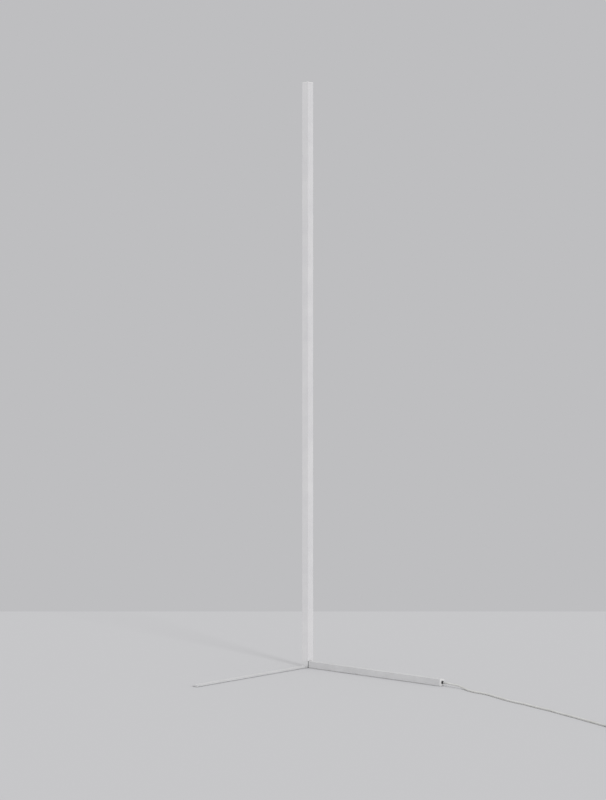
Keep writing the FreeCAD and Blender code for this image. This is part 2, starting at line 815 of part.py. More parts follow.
def make_collar_and_boot():
    collar = body("cable_grommet_model")
    hole = D.boot_root + D.thread_gap
    inside = -D.collar_flange
    turned(collar, [
        (hole, inside),
        (D.collar_radius, inside),
        (D.collar_radius, 0),
        (D.collar_neck, 0),
        (D.collar_neck, D.end_cap_thick),
        (D.collar_radius, D.end_cap_thick),
        (D.collar_nose, D.end_cap_thick + D.collar_rise),
        (hole, D.end_cap_thick + D.collar_rise),
    ])
    copies("cable_grommet", collar, [at(cap_face, leg_middle_y, leg_middle_z, "+X")])
    neck = body("cord_boot_model")
    foot = -D.collar_flange - D.boot_flange_thick
    mouth = D.end_cap_thick + D.collar_rise
    turned(neck, [(0, foot), (D.boot_flange, foot), (D.boot_flange, -D.collar_flange),
                  (D.boot_root, -D.collar_flange), (D.boot_root, mouth), (0, mouth)])
    doc.recompute()
    nodes.remove(neck)
    straight = neck.Shape.copy()
    straight.Placement = at(cap_face, leg_middle_y, leg_middle_z, "+X")
    placed("cord_boot", [straight.fuse(bent_boot()).removeSplitter()])


def bent_boot():
    """The boot's outside part: a taper that the cord's weight bends down."""
    start, middle, end = (boot_place(share) for share in (0, 0.5, 1))
    path = Part.Wire([Part.Arc(start, middle, end).toShape()])
    root = Part.Wire(Part.makeCircle(number_of(D.boot_root), start, boot_way(0)))
    tip = Part.Wire(Part.makeCircle(number_of(D.boot_tip), end, boot_way(1)))
    return path.makePipeShell([root, tip], True, False)


def boot_way(share):
    angle = math.radians(BOOT_BEND * share)
    return Vector(math.cos(angle), 0, -math.sin(angle))


def boot_place(share):
    """Where the boot's middle line is, from the collar's mouth to its tip."""
    mouth = Vector(*map(number_of, (leg_end + D.collar_rise, leg_middle_y, leg_middle_z)))
    radius = number_of(D.boot_reach) / math.radians(BOOT_BEND)
    way = boot_way(share)
    return mouth.add(Vector(-way.z, 0, way.x - 1).multiply(radius))


def boot_profile(owner, foot, flange, mouth, tip):
    """A moulded strain relief: a flange inside, then a ringed taper from the mouth to the tip."""
    points = [(0, foot), (D.boot_flange, foot), (D.boot_flange, foot + flange),
              (D.boot_root, foot + flange), (D.boot_root, mouth)]
    taper = (D.boot_root - D.boot_tip) / number_of(tip - mouth)
    for i in range(BOOT_GROOVES):
        low = mouth + D.boot_groove_pitch * (i + 1)
        high = low + D.boot_groove_pitch / 2
        low_radius = D.boot_root - taper * number_of(low - mouth)
        high_radius = D.boot_root - taper * number_of(high - mouth)
        points += [(low_radius, low), (low_radius - D.boot_groove, low),
                   (high_radius - D.boot_groove, high), (high_radius, high)]
    turned(owner, points + [(D.boot_tip, tip), (0, tip)])


def make_cord_clamp():
    clamp = body("cord_clamp", clamp_middle, leg_middle_y, tongue_top)
    roof = D.cord_radius * 2 + D.fit_gap + D.clamp_roof
    solid(clamp, "AdditiveBox", -D.clamp_length / 2, -D.tongue_width / 2, 0, Length=D.clamp_length,
          Width=D.tongue_width, Height=roof)
    channel = D.cord_radius + D.fit_gap
    solid(clamp, "SubtractiveBox", -D.clamp_length / 2 - D.overrun, -channel, -D.overrun,
          Length=D.clamp_length + D.overrun * 2, Width=channel * 2,
          Height=D.overrun + D.fit_gap + D.cord_radius * 2)
    for side in (-1, 1):
        solid(clamp, "SubtractiveCylinder", 0, D.clamp_screw_pitch / 2 * side, -D.overrun,
              Radius=D.tiny_shank + D.thread_gap, Height=roof + D.overrun * 2)
    model = screw("clamp_screw_model", D.tiny_head, D.tiny_head_tall, D.tiny_shank,
                  D.clamp_screw_length, D.tiny_drive, pan=True)
    copies("clamp_screws", model, [
        at(clamp_middle, leg_middle_y + D.clamp_screw_pitch / 2 * side, tongue_top + roof)
        for side in (-1, 1)])


# The driver

circuit_top = leg_floor + D.driver_wall + D.circuit_lift + D.circuit_thick


def make_driver():
    tray = body("driver_tray", driver_x, leg_middle_y, leg_floor)
    wide = D.driver_width / 2
    tall = D.driver_height - D.driver_wall
    solid(tray, "AdditiveBox", 0, -wide, 0, Length=D.driver_length, Width=D.driver_width, Height=tall)
    room = wide - D.driver_wall
    solid(tray, "SubtractiveBox", D.driver_wall, -room, D.driver_wall,
          Length=D.driver_length - D.driver_wall * 2, Width=room * 2, Height=tall)
    for x in (-D.overrun, D.driver_length - D.driver_wall - D.overrun):
        solid(tray, "SubtractiveBox", x, -D.terminal_width / 2 + D.fit_gap,
              D.lead_exit_z - leg_floor - D.core_radius - D.fit_gap,
              Length=D.driver_wall + D.overrun * 2, Width=D.terminal_width - D.fit_gap * 2,
              Height=D.driver_height)
    cover = body("driver_cover", driver_x, leg_middle_y, leg_floor + tall)
    solid(cover, "AdditiveBox", 0, -wide, 0, Length=D.driver_length, Width=D.driver_width,
          Height=D.driver_wall)
    room = room - D.fit_gap
    solid(cover, "AdditiveBox", D.driver_wall + D.fit_gap, -room, -D.driver_wall,
          Length=D.driver_length - (D.driver_wall + D.fit_gap) * 2, Width=room * 2,
          Height=D.driver_wall)
    room = room - D.driver_wall
    solid(cover, "SubtractiveBox", D.driver_wall * 2 + D.fit_gap, -room, -D.driver_wall - D.overrun,
          Length=D.driver_length - (D.driver_wall * 2 + D.fit_gap) * 2, Width=room * 2,
          Height=D.driver_wall + D.overrun)
    make_circuit()


def make_circuit():
    """The driver's circuit board, on two rails of its own, with what stands on it."""
    board = body("driver_board", driver_x + D.driver_wall + D.fit_gap, leg_middle_y,
                 leg_floor + D.driver_wall)
    long = D.driver_length - (D.driver_wall + D.fit_gap) * 2
    wide = D.driver_width / 2 - D.driver_wall - D.fit_gap
    solid(board, "AdditiveBox", 0, -wide, D.circuit_lift, Length=long, Width=wide * 2,
          Height=D.circuit_thick)
    for side in (-1, 1):
        middle = (wide - D.circuit_thick / 2) * side
        solid(board, "AdditiveBox", 0, middle - D.circuit_thick / 2, 0, Length=long,
              Width=D.circuit_thick, Height=D.circuit_lift)
    core = body("driver_transformer", driver_x + D.driver_length * TRANSFORMER_SHARE, leg_middle_y,
                circuit_top)
    width = D.transformer_width
    solid(core, "AdditiveBox", 0, -width / 2, 0, Length=D.transformer_length, Width=width,
          Height=D.transformer_height / 4)
    solid(core, "AdditiveBox", D.transformer_length / 4, -width / 2, 0,
          Length=D.transformer_length / 2, Width=width, Height=D.transformer_height)
    model = body("capacitor_model")
    can = solid(model, "AdditiveCylinder", 0, 0, D.capacitor_radius, "+X",
                Radius=D.capacitor_radius, Height=D.capacitor_length)
    soften(model, can, D.capacitor_radius / 4, lambda edge: edge.Curve.TypeId == "Part::GeomCircle")
    copies("driver_capacitors", model, [
        at(driver_x + D.driver_length * share, leg_middle_y, circuit_top)
        for share in CAPACITOR_SHARES])
    block = body("terminal_model")
    solid(block, "AdditiveBox", 0, -D.terminal_width / 2, 0, Length=D.terminal_length,
          Width=D.terminal_width, Height=D.terminal_height)
    for side in (-1, 1):
        solid(block, "SubtractiveCylinder", D.terminal_length / 2, D.terminal_width / 4 * side,
              D.terminal_height / 2, Radius=D.core_radius, Height=D.terminal_height)
    inset = D.driver_wall + D.fit_gap
    copies("driver_terminals", block, [
        at(driver_x + inset, leg_middle_y, circuit_top),
        at(driver_end - inset - D.terminal_length, leg_middle_y, circuit_top)])


# Cords and leads

def vector(x, y, z):
    return Vector(number_of(x), number_of(y), number_of(z))


def bend(start, corner, end):
    """The arc from start to end that is tangent to both legs at them, and its radius."""
    into = corner.sub(start).normalize()
    out = end.sub(corner).normalize()
    half_turn = into.getAngle(out) / 2
    radius = start.distanceToPoint(corner) / math.tan(half_turn)
    inward = out.sub(into).normalize()
    middle = corner.add(inward.multiply(radius / math.cos(half_turn) - radius))
    return Part.Arc(start, middle, end).toShape(), radius


def bent_path(points, longest_cut=math.inf):
    """Straight runs through the points, joined by tangent arcs, and the arcs' radii."""
    edges, radii = [], []
    last = points[0]
    for before, corner, after in zip(points, points[1:], points[2:]):
        shorter = min(before.distanceToPoint(corner), corner.distanceToPoint(after))
        cut = min(CUT_SHARE * shorter, longest_cut)
        start = corner.add(before.sub(corner).normalize().multiply(cut))
        end = corner.add(after.sub(corner).normalize().multiply(cut))
        arc, radius = bend(start, corner, end)
        edges += [Part.LineSegment(last, start).toShape(), arc]
        radii.append(radius)
        last = end
    edges.append(Part.LineSegment(last, points[-1]).toShape())
    return edges, radii


def tube_along(edges, radius):
    """A round tube of one piece along joined edges."""
    path = Part.Wire(edges)
    first = edges[0]
    direction = first.tangentAt(first.FirstParameter)
    start = first.valueAt(first.FirstParameter)
    section = Part.Wire(Part.makeCircle(number_of(radius), start, direction))
    return path.makePipeShell([section], True, False)


def check_tube(label, tube, edges, radius):
    """Prints a tube's length and how its volume compares with its section times its length."""
    length = sum(edge.Length for edge in edges)
    expected = math.pi * number_of(radius) ** 2 * length
    print(f"{label}: {length:.1f} mm long, volume {tube.Volume / expected:.4f} of section x length")


def make_bent(label, lines, radius, longest_cut=math.inf):
    """One sub-part of tubes that follow the lines' points."""
    tubes = []
    for points in lines:
        edges, radii = bent_path(points, longest_cut)
        tube = tube_along(edges, radius)
        check_tube(label, tube, edges, radius)
        if radii:
            print(f"{label}: radii {', '.join(f'{value:.0f}' for value in radii)}")
        tubes.append(tube)
    return placed(label, tubes)


# The cord's points on the floor, from past its boot to the foot switch's boot
CORD_POINTS = [
    (596, -2.7, 8.9),
    (612, -3.5, 8.2),
    (628, -7.5, 5.6),
    (645, -14.5, 3.2),
    (661, -23, 3),
    (680, -31.5, 3),
    (702, -37, 3),
    (727, -39.5, 3),
    (751, -44, 3),
    (782, -58, 3),
    (808, -68.5, 3),
    (838, -82, 3),
    (872, -94, 3),
    (922, -104, 3),
    (976, -124.5, 3),
    (1030, -139, 3),
    (1082, -161, 3),
    (1132, -177.5, 3),
    (1184, -199, 3),
    (1232, -216.5, 3),
    (1262, -230, 3),
    (1290, -236, 8),
    (1312, -236, 8),
]
cord_z = D.switch_split


def make_leads_and_cord():
    out = half + D.spigot_length
    bore_z = D.lead_place_z
    leads = []
    for side in (-1, 1):
        y = D.lead_place_y + D.lead_pitch / 2 * side
        leads.append([
            vector(driver_x + D.driver_wall + D.fit_gap, y, D.lead_exit_z),
            vector(driver_x - D.fit_gap, y, D.lead_exit_z),
            vector(out, y, bore_z),
            vector(D.lead_place_x, y, bore_z),
            vector(D.lead_place_x, y, base_top + D.board_start),
        ])
    make_bent("led_leads", leads, D.lead_radius, number_of(D.lead_bore))
    sheath = driver_end + D.core_length
    cores = []
    for side in (-1, 1):
        y = leg_middle_y + D.core_pitch / 2 * side
        cores.append([vector(driver_end - D.driver_wall - D.fit_gap, y, D.lead_exit_z),
                      vector(sheath, y, D.lead_exit_z)])
    make_bent("mains_cores", cores, D.core_radius)
    over = leg_floor + D.ballast_height + D.inner_lift + D.cord_radius
    rise = D.cord_radius * 3
    make_bent("cord_inner", [[
        vector(sheath, leg_middle_y, D.lead_exit_z),
        vector(sheath + rise, leg_middle_y, D.lead_exit_z),
        vector(ballast_x - D.cord_radius, leg_middle_y, over),
        vector(ballast_end + D.cord_radius, leg_middle_y, over),
        vector(clamp_middle - D.clamp_length * 1.5, leg_middle_y, leg_middle_z),
        vector(cap_face - D.collar_flange - D.boot_flange_thick, leg_middle_y, leg_middle_z),
    ]], D.cord_radius, number_of(D.cord_radius * 2))
    tip = boot_place(1)
    points = [tip, tip.add(boot_way(1).multiply(number_of(D.cord_lead)))]
    points += [Vector(*point) for point in CORD_POINTS]
    make_bent("cord_run", [points], D.cord_radius)


# Windings: the put-away coil and the switch's spring

def winding(place, turns, first=None, last=None):
    """Arcs through a winding's places, two for each quarter turn, tangent all along."""
    count = round(turns * STEPS_PER_TURN)
    points, ways = [], []
    for i in range(count + 1):
        turn = i / STEPS_PER_TURN
        points.append(place(turn))
        ways.append(place(turn + SLOPE_STEP_SHARE).sub(place(turn - SLOPE_STEP_SHARE)).normalize())
    ways[0] = first or ways[0]
    ways[-1] = last or ways[-1]
    edges = []
    for i in range(count):
        edges += biarc(points[i], ways[i], points[i + 1], ways[i + 1])
    return edges


def biarc(start, way, end, end_way):
    """Two arcs that leave start along way and reach end along end_way."""
    span = end.sub(start)
    both = way.add(end_way)
    spread = 2 * (1 - way.dot(end_way))
    along = span.dot(both)
    reach = (math.sqrt(along * along + spread * span.dot(span)) - along) / spread
    one = start.add(Vector(way).multiply(reach))
    two = end.sub(Vector(end_way).multiply(reach))
    joint = one.add(two).multiply(0.5)
    return [bend(start, one, joint)[0], bend(joint, two, end)[0]]


def least_gap(edges, diameter):
    """The smallest distance between two turns' surfaces, measured on points along the winding."""
    step = diameter / 4
    points = [point for edge in edges for point in edge.discretize(Distance=step)[:-1]]
    apart = round(3 * diameter / step)
    least = min(points[i].distanceToPoint(points[j])
                for i in range(0, len(points), 2) for j in range(i + apart, len(points)))
    return least - diameter


switch_x = CORD_POINTS[-1][0] + number_of(D.switch_boot_reach + D.switch_length / 2)
switch_y = CORD_POINTS[-1][1]
coil_x = switch_x + number_of(
    D.switch_length / 2 + D.switch_boot_reach + D.link_run * 3 + D.cord_radius * 2)
coil_outside = number_of(D.coil_radius) + number_of(D.coil_pitch) * COIL_TURNS / 4
coil_y = switch_y + coil_outside
coil_low = number_of(D.cord_radius + D.tie_thick + D.tie_gap)
coil_high = coil_low + number_of(D.coil_pitch)


def coil_place(turn):
    """Where the coil's middle line is: in to the middle turn and out again, a layer higher."""
    pitch = number_of(D.coil_pitch)
    radius = coil_outside - pitch * min(turn, COIL_TURNS - turn)
    climb = min(max(2 * (turn - COIL_TURNS / 2) + 0.5, 0), 1)
    angle = 2 * math.pi * (turn - 1 / STEPS_PER_TURN)
    return Vector(coil_x + radius * math.cos(angle), coil_y + radius * math.sin(angle),
                  coil_low + climb * pitch)


def make_coil():
    start, end = coil_place(0), coil_place(COIL_TURNS)
    lead = number_of(D.cord_radius) * 2
    into, out = Vector(1, 0, 0), Vector(0, 1, 0)
    edges = winding(coil_place, COIL_TURNS, into, out)
    edges.insert(0, Part.LineSegment(start.sub(into * lead), start).toShape())
    edges.append(Part.LineSegment(end, end.add(out * lead)).toShape())
    tube = tube_along(edges, D.cord_radius)
    check_tube("cord_coil", tube, edges, D.cord_radius)
    print(f"cord_coil: least gap to itself {least_gap(edges, lead):.2f} mm")
    placed("cord_coil", [tube])
    run = number_of(D.link_run)
    link_start = vector(coil_x - lead - 3 * run, switch_y, cord_z)
    link_end = start.sub(into * lead)
    make_bent("cord_link", [[link_start, link_start.add(into * run), link_end.sub(into * run),
                             link_end]], D.cord_radius)
    make_tail_and_plug(end.add(out * lead), out)
    make_tie()


def make_tie():
    """A flat band round the whole bundle of turns, where it lies farthest along +Y."""
    pitch = number_of(D.coil_pitch)
    wire, gap, thick = (number_of(size) for size in (D.cord_radius, D.tie_gap, D.tie_thick))
    inner_turn = coil_outside - pitch * (TIE_TURN + 2)
    deep = 2 * pitch + 2 * wire + 3 * gap
    tall = pitch + 2 * wire + 2 * gap
    tie = body("coil_tie", coil_x, coil_y + inner_turn - wire - 2 * gap - thick, 0)
    band = solid(tie, "AdditiveBox", -D.tie_width / 2, 0, 0, Length=D.tie_width,
                 Width=deep + 2 * thick, Height=tall + 2 * thick)
    soften(tie, band, D.tie_thick, lambda edge: abs(edge.tangentAt(edge.FirstParameter).x) == 1)
    solid(tie, "SubtractiveBox", -D.tie_width / 2 - D.overrun, thick, thick,
          Length=D.tie_width + D.overrun * 2, Width=deep, Height=tall)


def make_tail_and_plug(start, out):
    run = number_of(D.tail_run)
    plug_z = number_of(D.plug_thick / 2)
    tip = Vector(start.x + number_of(D.tail_side), start.y + 3 * run, plug_z)
    make_bent("cord_tail", [[start, start.add(out * run), tip.sub(out * run), tip]], D.cord_radius)
    front = tip.y + number_of(D.plug_boot_reach + D.plug_length)
    plug = body("plug_body", tip.x, front, 0, -90)
    drawing = sketch_on(plug, "XY_Plane", "plan")
    wide, narrow = D.plug_width / 2, D.plug_rear / 2
    outline(drawing, [(0, -wide), (D.plug_front, -wide), (D.plug_length, -narrow),
                      (D.plug_length, narrow), (D.plug_front, wide), (0, wide)])
    block = pad(plug, drawing, D.plug_thick)
    soften(plug, block, D.plug_edge, plug_edge)
    solid(plug, "AdditiveCone", D.plug_length, 0, D.plug_thick / 2, "+X", Radius1=D.plug_boot_root,
          Radius2=D.cord_radius + D.fit_gap, Height=D.plug_boot_reach)
    for side in (-1, 1):
        solid(plug, "SubtractiveCylinder", 0, D.pin_pitch / 2 * side, D.plug_thick / 2, "+X",
              Radius=D.pin_root_radius + D.thread_gap, Height=D.pin_root)
    model = body("pin_model")
    turned(model, [(0, -D.pin_root), (D.pin_root_radius, -D.pin_root), (D.pin_root_radius, 0),
                   (D.pin_radius, 0), (D.pin_radius, D.pin_reach - D.pin_radius / 2),
                   (D.pin_radius / 2, D.pin_reach), (0, D.pin_reach)])
    copies("plug_pins", model, [
        at(tip.x + number_of(D.pin_pitch / 2 * side), front, D.plug_thick / 2, "+Y")
        for side in (-1, 1)])


def plug_edge(edge):
    """Picks the plug's long edges, top and bottom, and not those of its front face."""
    flat = abs(edge.tangentAt(edge.FirstParameter).z) < 1
    return flat and edge.CenterOfMass.x > TINY


# The foot switch

def make_switch():
    inside_length = D.switch_length - D.switch_wall * 2
    inside_width = D.switch_width - D.switch_wall * 2
    end = D.switch_length / 2
    post_places = ((D.post_x, D.post_y), (-D.post_x, -D.post_y))

    base = body("switch_base", switch_x, switch_y, 0)
    drawing = sketch_on(base, "XY_Plane", "plan")
    stadium(drawing, D.switch_length, D.switch_width)
    pad(base, drawing, D.switch_split)
    hollow = sketch_on(base, "XY_Plane", "hollow", lift=D.switch_wall)
    stadium(hollow, inside_length, inside_width)
    pocket(base, hollow, D.switch_split, reverse=True)
    for x, y in post_places:
        solid(base, "SubtractiveCylinder", x, y, -D.overrun, Radius=D.tiny_shank + D.fit_gap,
              Height=D.switch_wall + D.overrun * 2)
        solid(base, "SubtractiveCone", x, y, 0, Radius1=D.tiny_head + D.thread_gap,
              Radius2=D.tiny_shank + D.thread_gap, Height=D.tiny_head_tall)
    for x in (-end - D.overrun, end - D.switch_wall * 2 - D.overrun):
        solid(base, "SubtractiveCylinder", x, 0, D.switch_split, "+X",
              Radius=D.boot_root + D.thread_gap, Height=(D.switch_wall + D.overrun) * 2)

    cover = body("switch_cover", switch_x, switch_y, D.switch_split)
    tall = D.switch_height - D.switch_split
    drawing = sketch_on(cover, "XY_Plane", "plan")
    stadium(drawing, D.switch_length, D.switch_width)
    shell = pad(cover, drawing, tall)
    soften(cover, shell, D.switch_edge, lambda edge: edge.CenterOfMass.z > number_of(tall) - TINY)
    hollow = sketch_on(cover, "XY_Plane", "hollow")
    stadium(hollow, inside_length, inside_width)
    pocket(cover, hollow, tall - D.switch_wall, reverse=True)
    for x, y in post_places:
        solid(cover, "AdditiveCylinder", x, y, D.switch_wall + D.fit_gap - D.switch_split,
              Radius=D.post_radius, Height=D.switch_height - D.switch_wall * 1.5)
        solid(cover, "SubtractiveCylinder", x, y, -D.switch_split,
              Radius=D.tiny_shank + D.thread_gap, Height=D.clamp_screw_length + D.fit_gap)
    solid(cover, "SubtractiveCylinder", 0, 0, tall - D.switch_wall - D.overrun,
          Radius=D.button_radius + D.button_gap, Height=D.switch_wall + D.overrun * 2)
    for x in (-end - D.overrun, end - D.switch_wall * 2 - D.overrun):
        solid(cover, "SubtractiveCylinder", x, 0, 0, "+X", Radius=D.boot_root + D.thread_gap,
              Height=(D.switch_wall + D.overrun) * 2)

    make_switch_inside(end, post_places)


def make_switch_inside(end, post_places):
    lip_top = D.switch_height - D.switch_wall - D.button_gap
    lip_foot = lip_top - D.button_lip
    button = body("switch_button", switch_x, switch_y, 0)
    shape = turned(button, [
        (0, lip_foot - D.spring_peg_tall),
        (D.spring_peg_radius, lip_foot - D.spring_peg_tall),
        (D.spring_peg_radius, lip_foot),
        (D.button_radius + D.button_lip, lip_foot),
        (D.button_radius + D.button_lip, lip_top),
        (D.button_radius, lip_top),
        (D.button_radius, D.switch_height + D.button_rise),
        (0, D.switch_height + D.button_rise),
    ])
    top = number_of(D.switch_height + D.button_rise)
    soften(button, shape, D.button_edge, lambda edge: edge.BoundBox.ZMin > top - TINY)
    block = body("switch_block", switch_x, switch_y, D.switch_wall)
    solid(block, "AdditiveBox", -D.contact_length / 2, -D.contact_width / 2, 0,
          Length=D.contact_length, Width=D.contact_width, Height=D.contact_height)
    solid(block, "AdditiveCylinder", 0, 0, D.contact_height, Radius=D.spring_peg_radius,
          Height=D.spring_peg_tall)
    seat = D.switch_wall + D.contact_height
    low = number_of(seat + D.spring_wire + D.thread_gap)
    rise = (number_of(lip_foot - D.spring_wire - D.thread_gap) - low) / SPRING_TURNS

    def spring_place(turn):
        radius = number_of(D.spring_radius)
        angle = 2 * math.pi * turn
        return Vector(switch_x + radius * math.cos(angle), switch_y + radius * math.sin(angle),
                      low + rise * turn)

    edges = winding(spring_place, SPRING_TURNS)
    placed("switch_spring", [tube_along(edges, D.spring_wire)])
    print(f"switch_spring: least gap {least_gap(edges, number_of(D.spring_wire) * 2):.2f} mm")
    model = screw("switch_screw_model", D.tiny_head, D.tiny_head_tall, D.tiny_shank,
                  D.clamp_screw_length, D.tiny_drive)
    copies("switch_screws", model, [
        at(switch_x + number_of(x), switch_y + number_of(y), 0, "-Z") for x, y in post_places])
    boot = body("switch_boot_model")
    inside = D.switch_wall + D.switch_boot_inset
    boot_profile(boot, -D.boot_flange_thick - inside, D.boot_flange_thick, 0,
                 D.switch_boot_reach)
    reach = number_of(end)
    copies("switch_boots", boot, [
        at(switch_x + reach, switch_y, cord_z, "+X"), at(switch_x - reach, switch_y, cord_z, "-X")])
    leads = []
    for side in (-1, 1):
        for lane in (-1, 1):
            y = switch_y + number_of(D.core_pitch) / 2 * lane
            near = switch_x + number_of(D.contact_length) / 2 * side
            far = switch_x + (reach - number_of(inside + D.boot_flange_thick)) * side
            leads.append([vector(near, y, cord_z), vector(far, y, cord_z)])
    make_bent("switch_leads", leads, D.lead_radius)


make_stem_profile()
make_stem_diffuser()
make_top_cap()
make_stem_fixings(make_light_boards())
make_corner_block()
make_feet()
make_flat_leg()
make_leg_gasket()
make_leg_tube()
make_ballast()
make_leg_end_cap()
make_collar_and_boot()
make_cord_clamp()
make_driver()
make_leads_and_cord()
make_switch()
make_coil()
doc.recompute()

# Nothing is written unless every object is sound and every cut removes material

for thing in doc.Objects:
    if "Invalid" in thing.State or "Error" in thing.State:
        raise RuntimeError(f"{thing.Label} is {thing.State}")
for cut in cuts:
    if cut.Shape.Volume >= cut.BaseFeature.Shape.Volume - TINY:
        raise RuntimeError(f"{cut.Label} cuts nothing")
for node in nodes:
    if node.Shape.isNull() or not node.Shape.isValid() or not node.Shape.Solids:
        raise RuntimeError(f"{node.Label} has no sound solid")

os.makedirs("parts", exist_ok=True)
for node in nodes:
    node.Shape.exportStep(f"parts/{node.Label}.step")
print(f"{len(nodes)} nodes written")
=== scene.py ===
"""A slim corner floor lamp, dressed for a close look.

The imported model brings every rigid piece. This script gives each its finish, lays the two lengths of
flex, and adds the strap round the coil and the grips moulded on the boots, the foot switch and the
plug. Lengths are in metres, or in millimetres where a name ends in _mm or MM.
"""
import json
import math

import bmesh
import bpy
from mathutils import Matrix, Vector


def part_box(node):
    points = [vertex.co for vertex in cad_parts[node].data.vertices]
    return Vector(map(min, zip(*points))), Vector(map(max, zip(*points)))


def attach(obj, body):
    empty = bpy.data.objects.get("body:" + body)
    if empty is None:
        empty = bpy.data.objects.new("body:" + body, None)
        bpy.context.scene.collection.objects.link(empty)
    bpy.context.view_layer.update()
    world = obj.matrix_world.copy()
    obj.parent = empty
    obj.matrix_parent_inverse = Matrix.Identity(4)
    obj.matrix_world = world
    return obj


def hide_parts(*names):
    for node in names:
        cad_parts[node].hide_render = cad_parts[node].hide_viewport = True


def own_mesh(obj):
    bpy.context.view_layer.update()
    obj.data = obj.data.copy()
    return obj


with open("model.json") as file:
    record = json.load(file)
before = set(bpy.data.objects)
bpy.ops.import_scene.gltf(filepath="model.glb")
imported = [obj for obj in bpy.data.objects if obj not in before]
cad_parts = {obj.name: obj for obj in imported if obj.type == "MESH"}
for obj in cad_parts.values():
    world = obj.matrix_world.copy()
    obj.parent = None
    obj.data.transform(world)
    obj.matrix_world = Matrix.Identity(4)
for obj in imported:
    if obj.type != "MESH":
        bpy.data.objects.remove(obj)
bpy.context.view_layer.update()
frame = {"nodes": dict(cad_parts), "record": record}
MM = 0.001


# Helpers for node trees and colours

MIX_SHARE, MIX_FIRST, MIX_SECOND = 0, 6, 7  # a colour mix's inputs
MIX_RESULT = 2


def linear(code):
    """A linear colour from an sRGB hex code."""
    shares = [int(code[i:i + 2], 16) / 255 for i in (1, 3, 5)]
    return tuple(
        share / 12.92 if share <= 0.04045 else ((share + 0.055) / 1.055) ** 2.4 for share in shares
    ) + (1,)


def add(tree, kind, inputs=None, **settings):
    """Adds a node with its settings; an input is a value, or the socket that feeds it."""
    new = tree.nodes.new(kind)
    for name, value in settings.items():
        setattr(new, name, value)
    for name, value in (inputs or {}).items():
        if isinstance(value, bpy.types.NodeSocket):
            tree.links.new(value, new.inputs[name])
        else:
            new.inputs[name].default_value = value
    return new


def mixed_colour(tree, share, first, second):
    return add(tree, "ShaderNodeMix", {
        MIX_SHARE: share, MIX_FIRST: first, MIX_SECOND: second},
        data_type="RGBA").outputs[MIX_RESULT]


def empty_material(name):
    material = bpy.data.materials.new(name)
    material.use_nodes = True
    material.node_tree.nodes.clear()
    return material, material.node_tree


# Finishes

PATCH_LOW = 0.35
PATCH_HIGH = 0.65
PATCH_DETAIL = 3
PATCH_ROUGHNESS = 0.6
GRAIN_DETAIL = 2
GRAIN_ROUGHNESS = 0.5
DUST = "#BDB8AF"
DUST_FROM = 0.5  # how far up a face has to look before dust lies on it
DEPTH_WEIGHT = 0.35  # how much light sinks in, where a finish has a depth


def surface(name, tone, second_tone, patch_mm, grain_mm, height_mm, rough, rough_swing,
            stretch=(1, 1, 1), metallic=0, ior=1.5, depth_mm=0, sheen=0, dust=0):
    """A finish whose tone and gloss drift over patches, with a grain, and dust on what faces up.

    The grain is drawn out along the object where stretch is small.
    """
    material, tree = empty_material(name)
    place = add(tree, "ShaderNodeTexCoord").outputs["Object"]
    patches = add(tree, "ShaderNodeTexNoise", {
        "Vector": place, "Scale": 1 / (patch_mm * MM), "Detail": PATCH_DETAIL,
        "Roughness": PATCH_ROUGHNESS})
    drift = add(tree, "ShaderNodeMapRange", {
        "Value": patches.outputs["Fac"], "From Min": PATCH_LOW, "From Max": PATCH_HIGH})
    colour = mixed_colour(tree, drift.outputs["Result"], linear(tone), linear(second_tone))
    gloss = add(tree, "ShaderNodeMapRange", {
        "Value": patches.outputs["Fac"], "From Min": PATCH_LOW, "From Max": PATCH_HIGH,
        "To Min": rough - rough_swing, "To Max": rough + rough_swing})
    drawn = add(tree, "ShaderNodeMapping", {"Vector": place, "Scale": stretch})
    grain = add(tree, "ShaderNodeTexNoise", {
        "Vector": drawn.outputs["Vector"], "Scale": 1 / (grain_mm * MM),
        "Detail": GRAIN_DETAIL, "Roughness": GRAIN_ROUGHNESS})
    bump = add(tree, "ShaderNodeBump", {
        "Height": grain.outputs["Fac"], "Strength": 1, "Distance": height_mm * MM})
    if dust:
        normal = add(tree, "ShaderNodeNewGeometry").outputs["Normal"]
        upward = add(tree, "ShaderNodeSeparateXYZ", {"Vector": normal}).outputs["Z"]
        lying = add(tree, "ShaderNodeMapRange", {
            "Value": upward, "From Min": DUST_FROM, "From Max": 1, "To Max": dust})
        colour = mixed_colour(tree, lying.outputs["Result"], colour, linear(DUST))
    inputs = {
        "Base Color": colour, "Roughness": gloss.outputs["Result"],
        "Normal": bump.outputs["Normal"], "Metallic": metallic, "Sheen Weight": sheen}
    if not metallic:
        inputs["IOR"] = ior
    if depth_mm:
        inputs["Subsurface Weight"] = DEPTH_WEIGHT
        inputs["Subsurface Radius"] = (1, 1, 1)
        inputs["Subsurface Scale"] = depth_mm * MM
    shader = add(tree, "ShaderNodeBsdfPrincipled", inputs)
    add(tree, "ShaderNodeOutputMaterial", {"Surface": shader.outputs["BSDF"]})
    return material


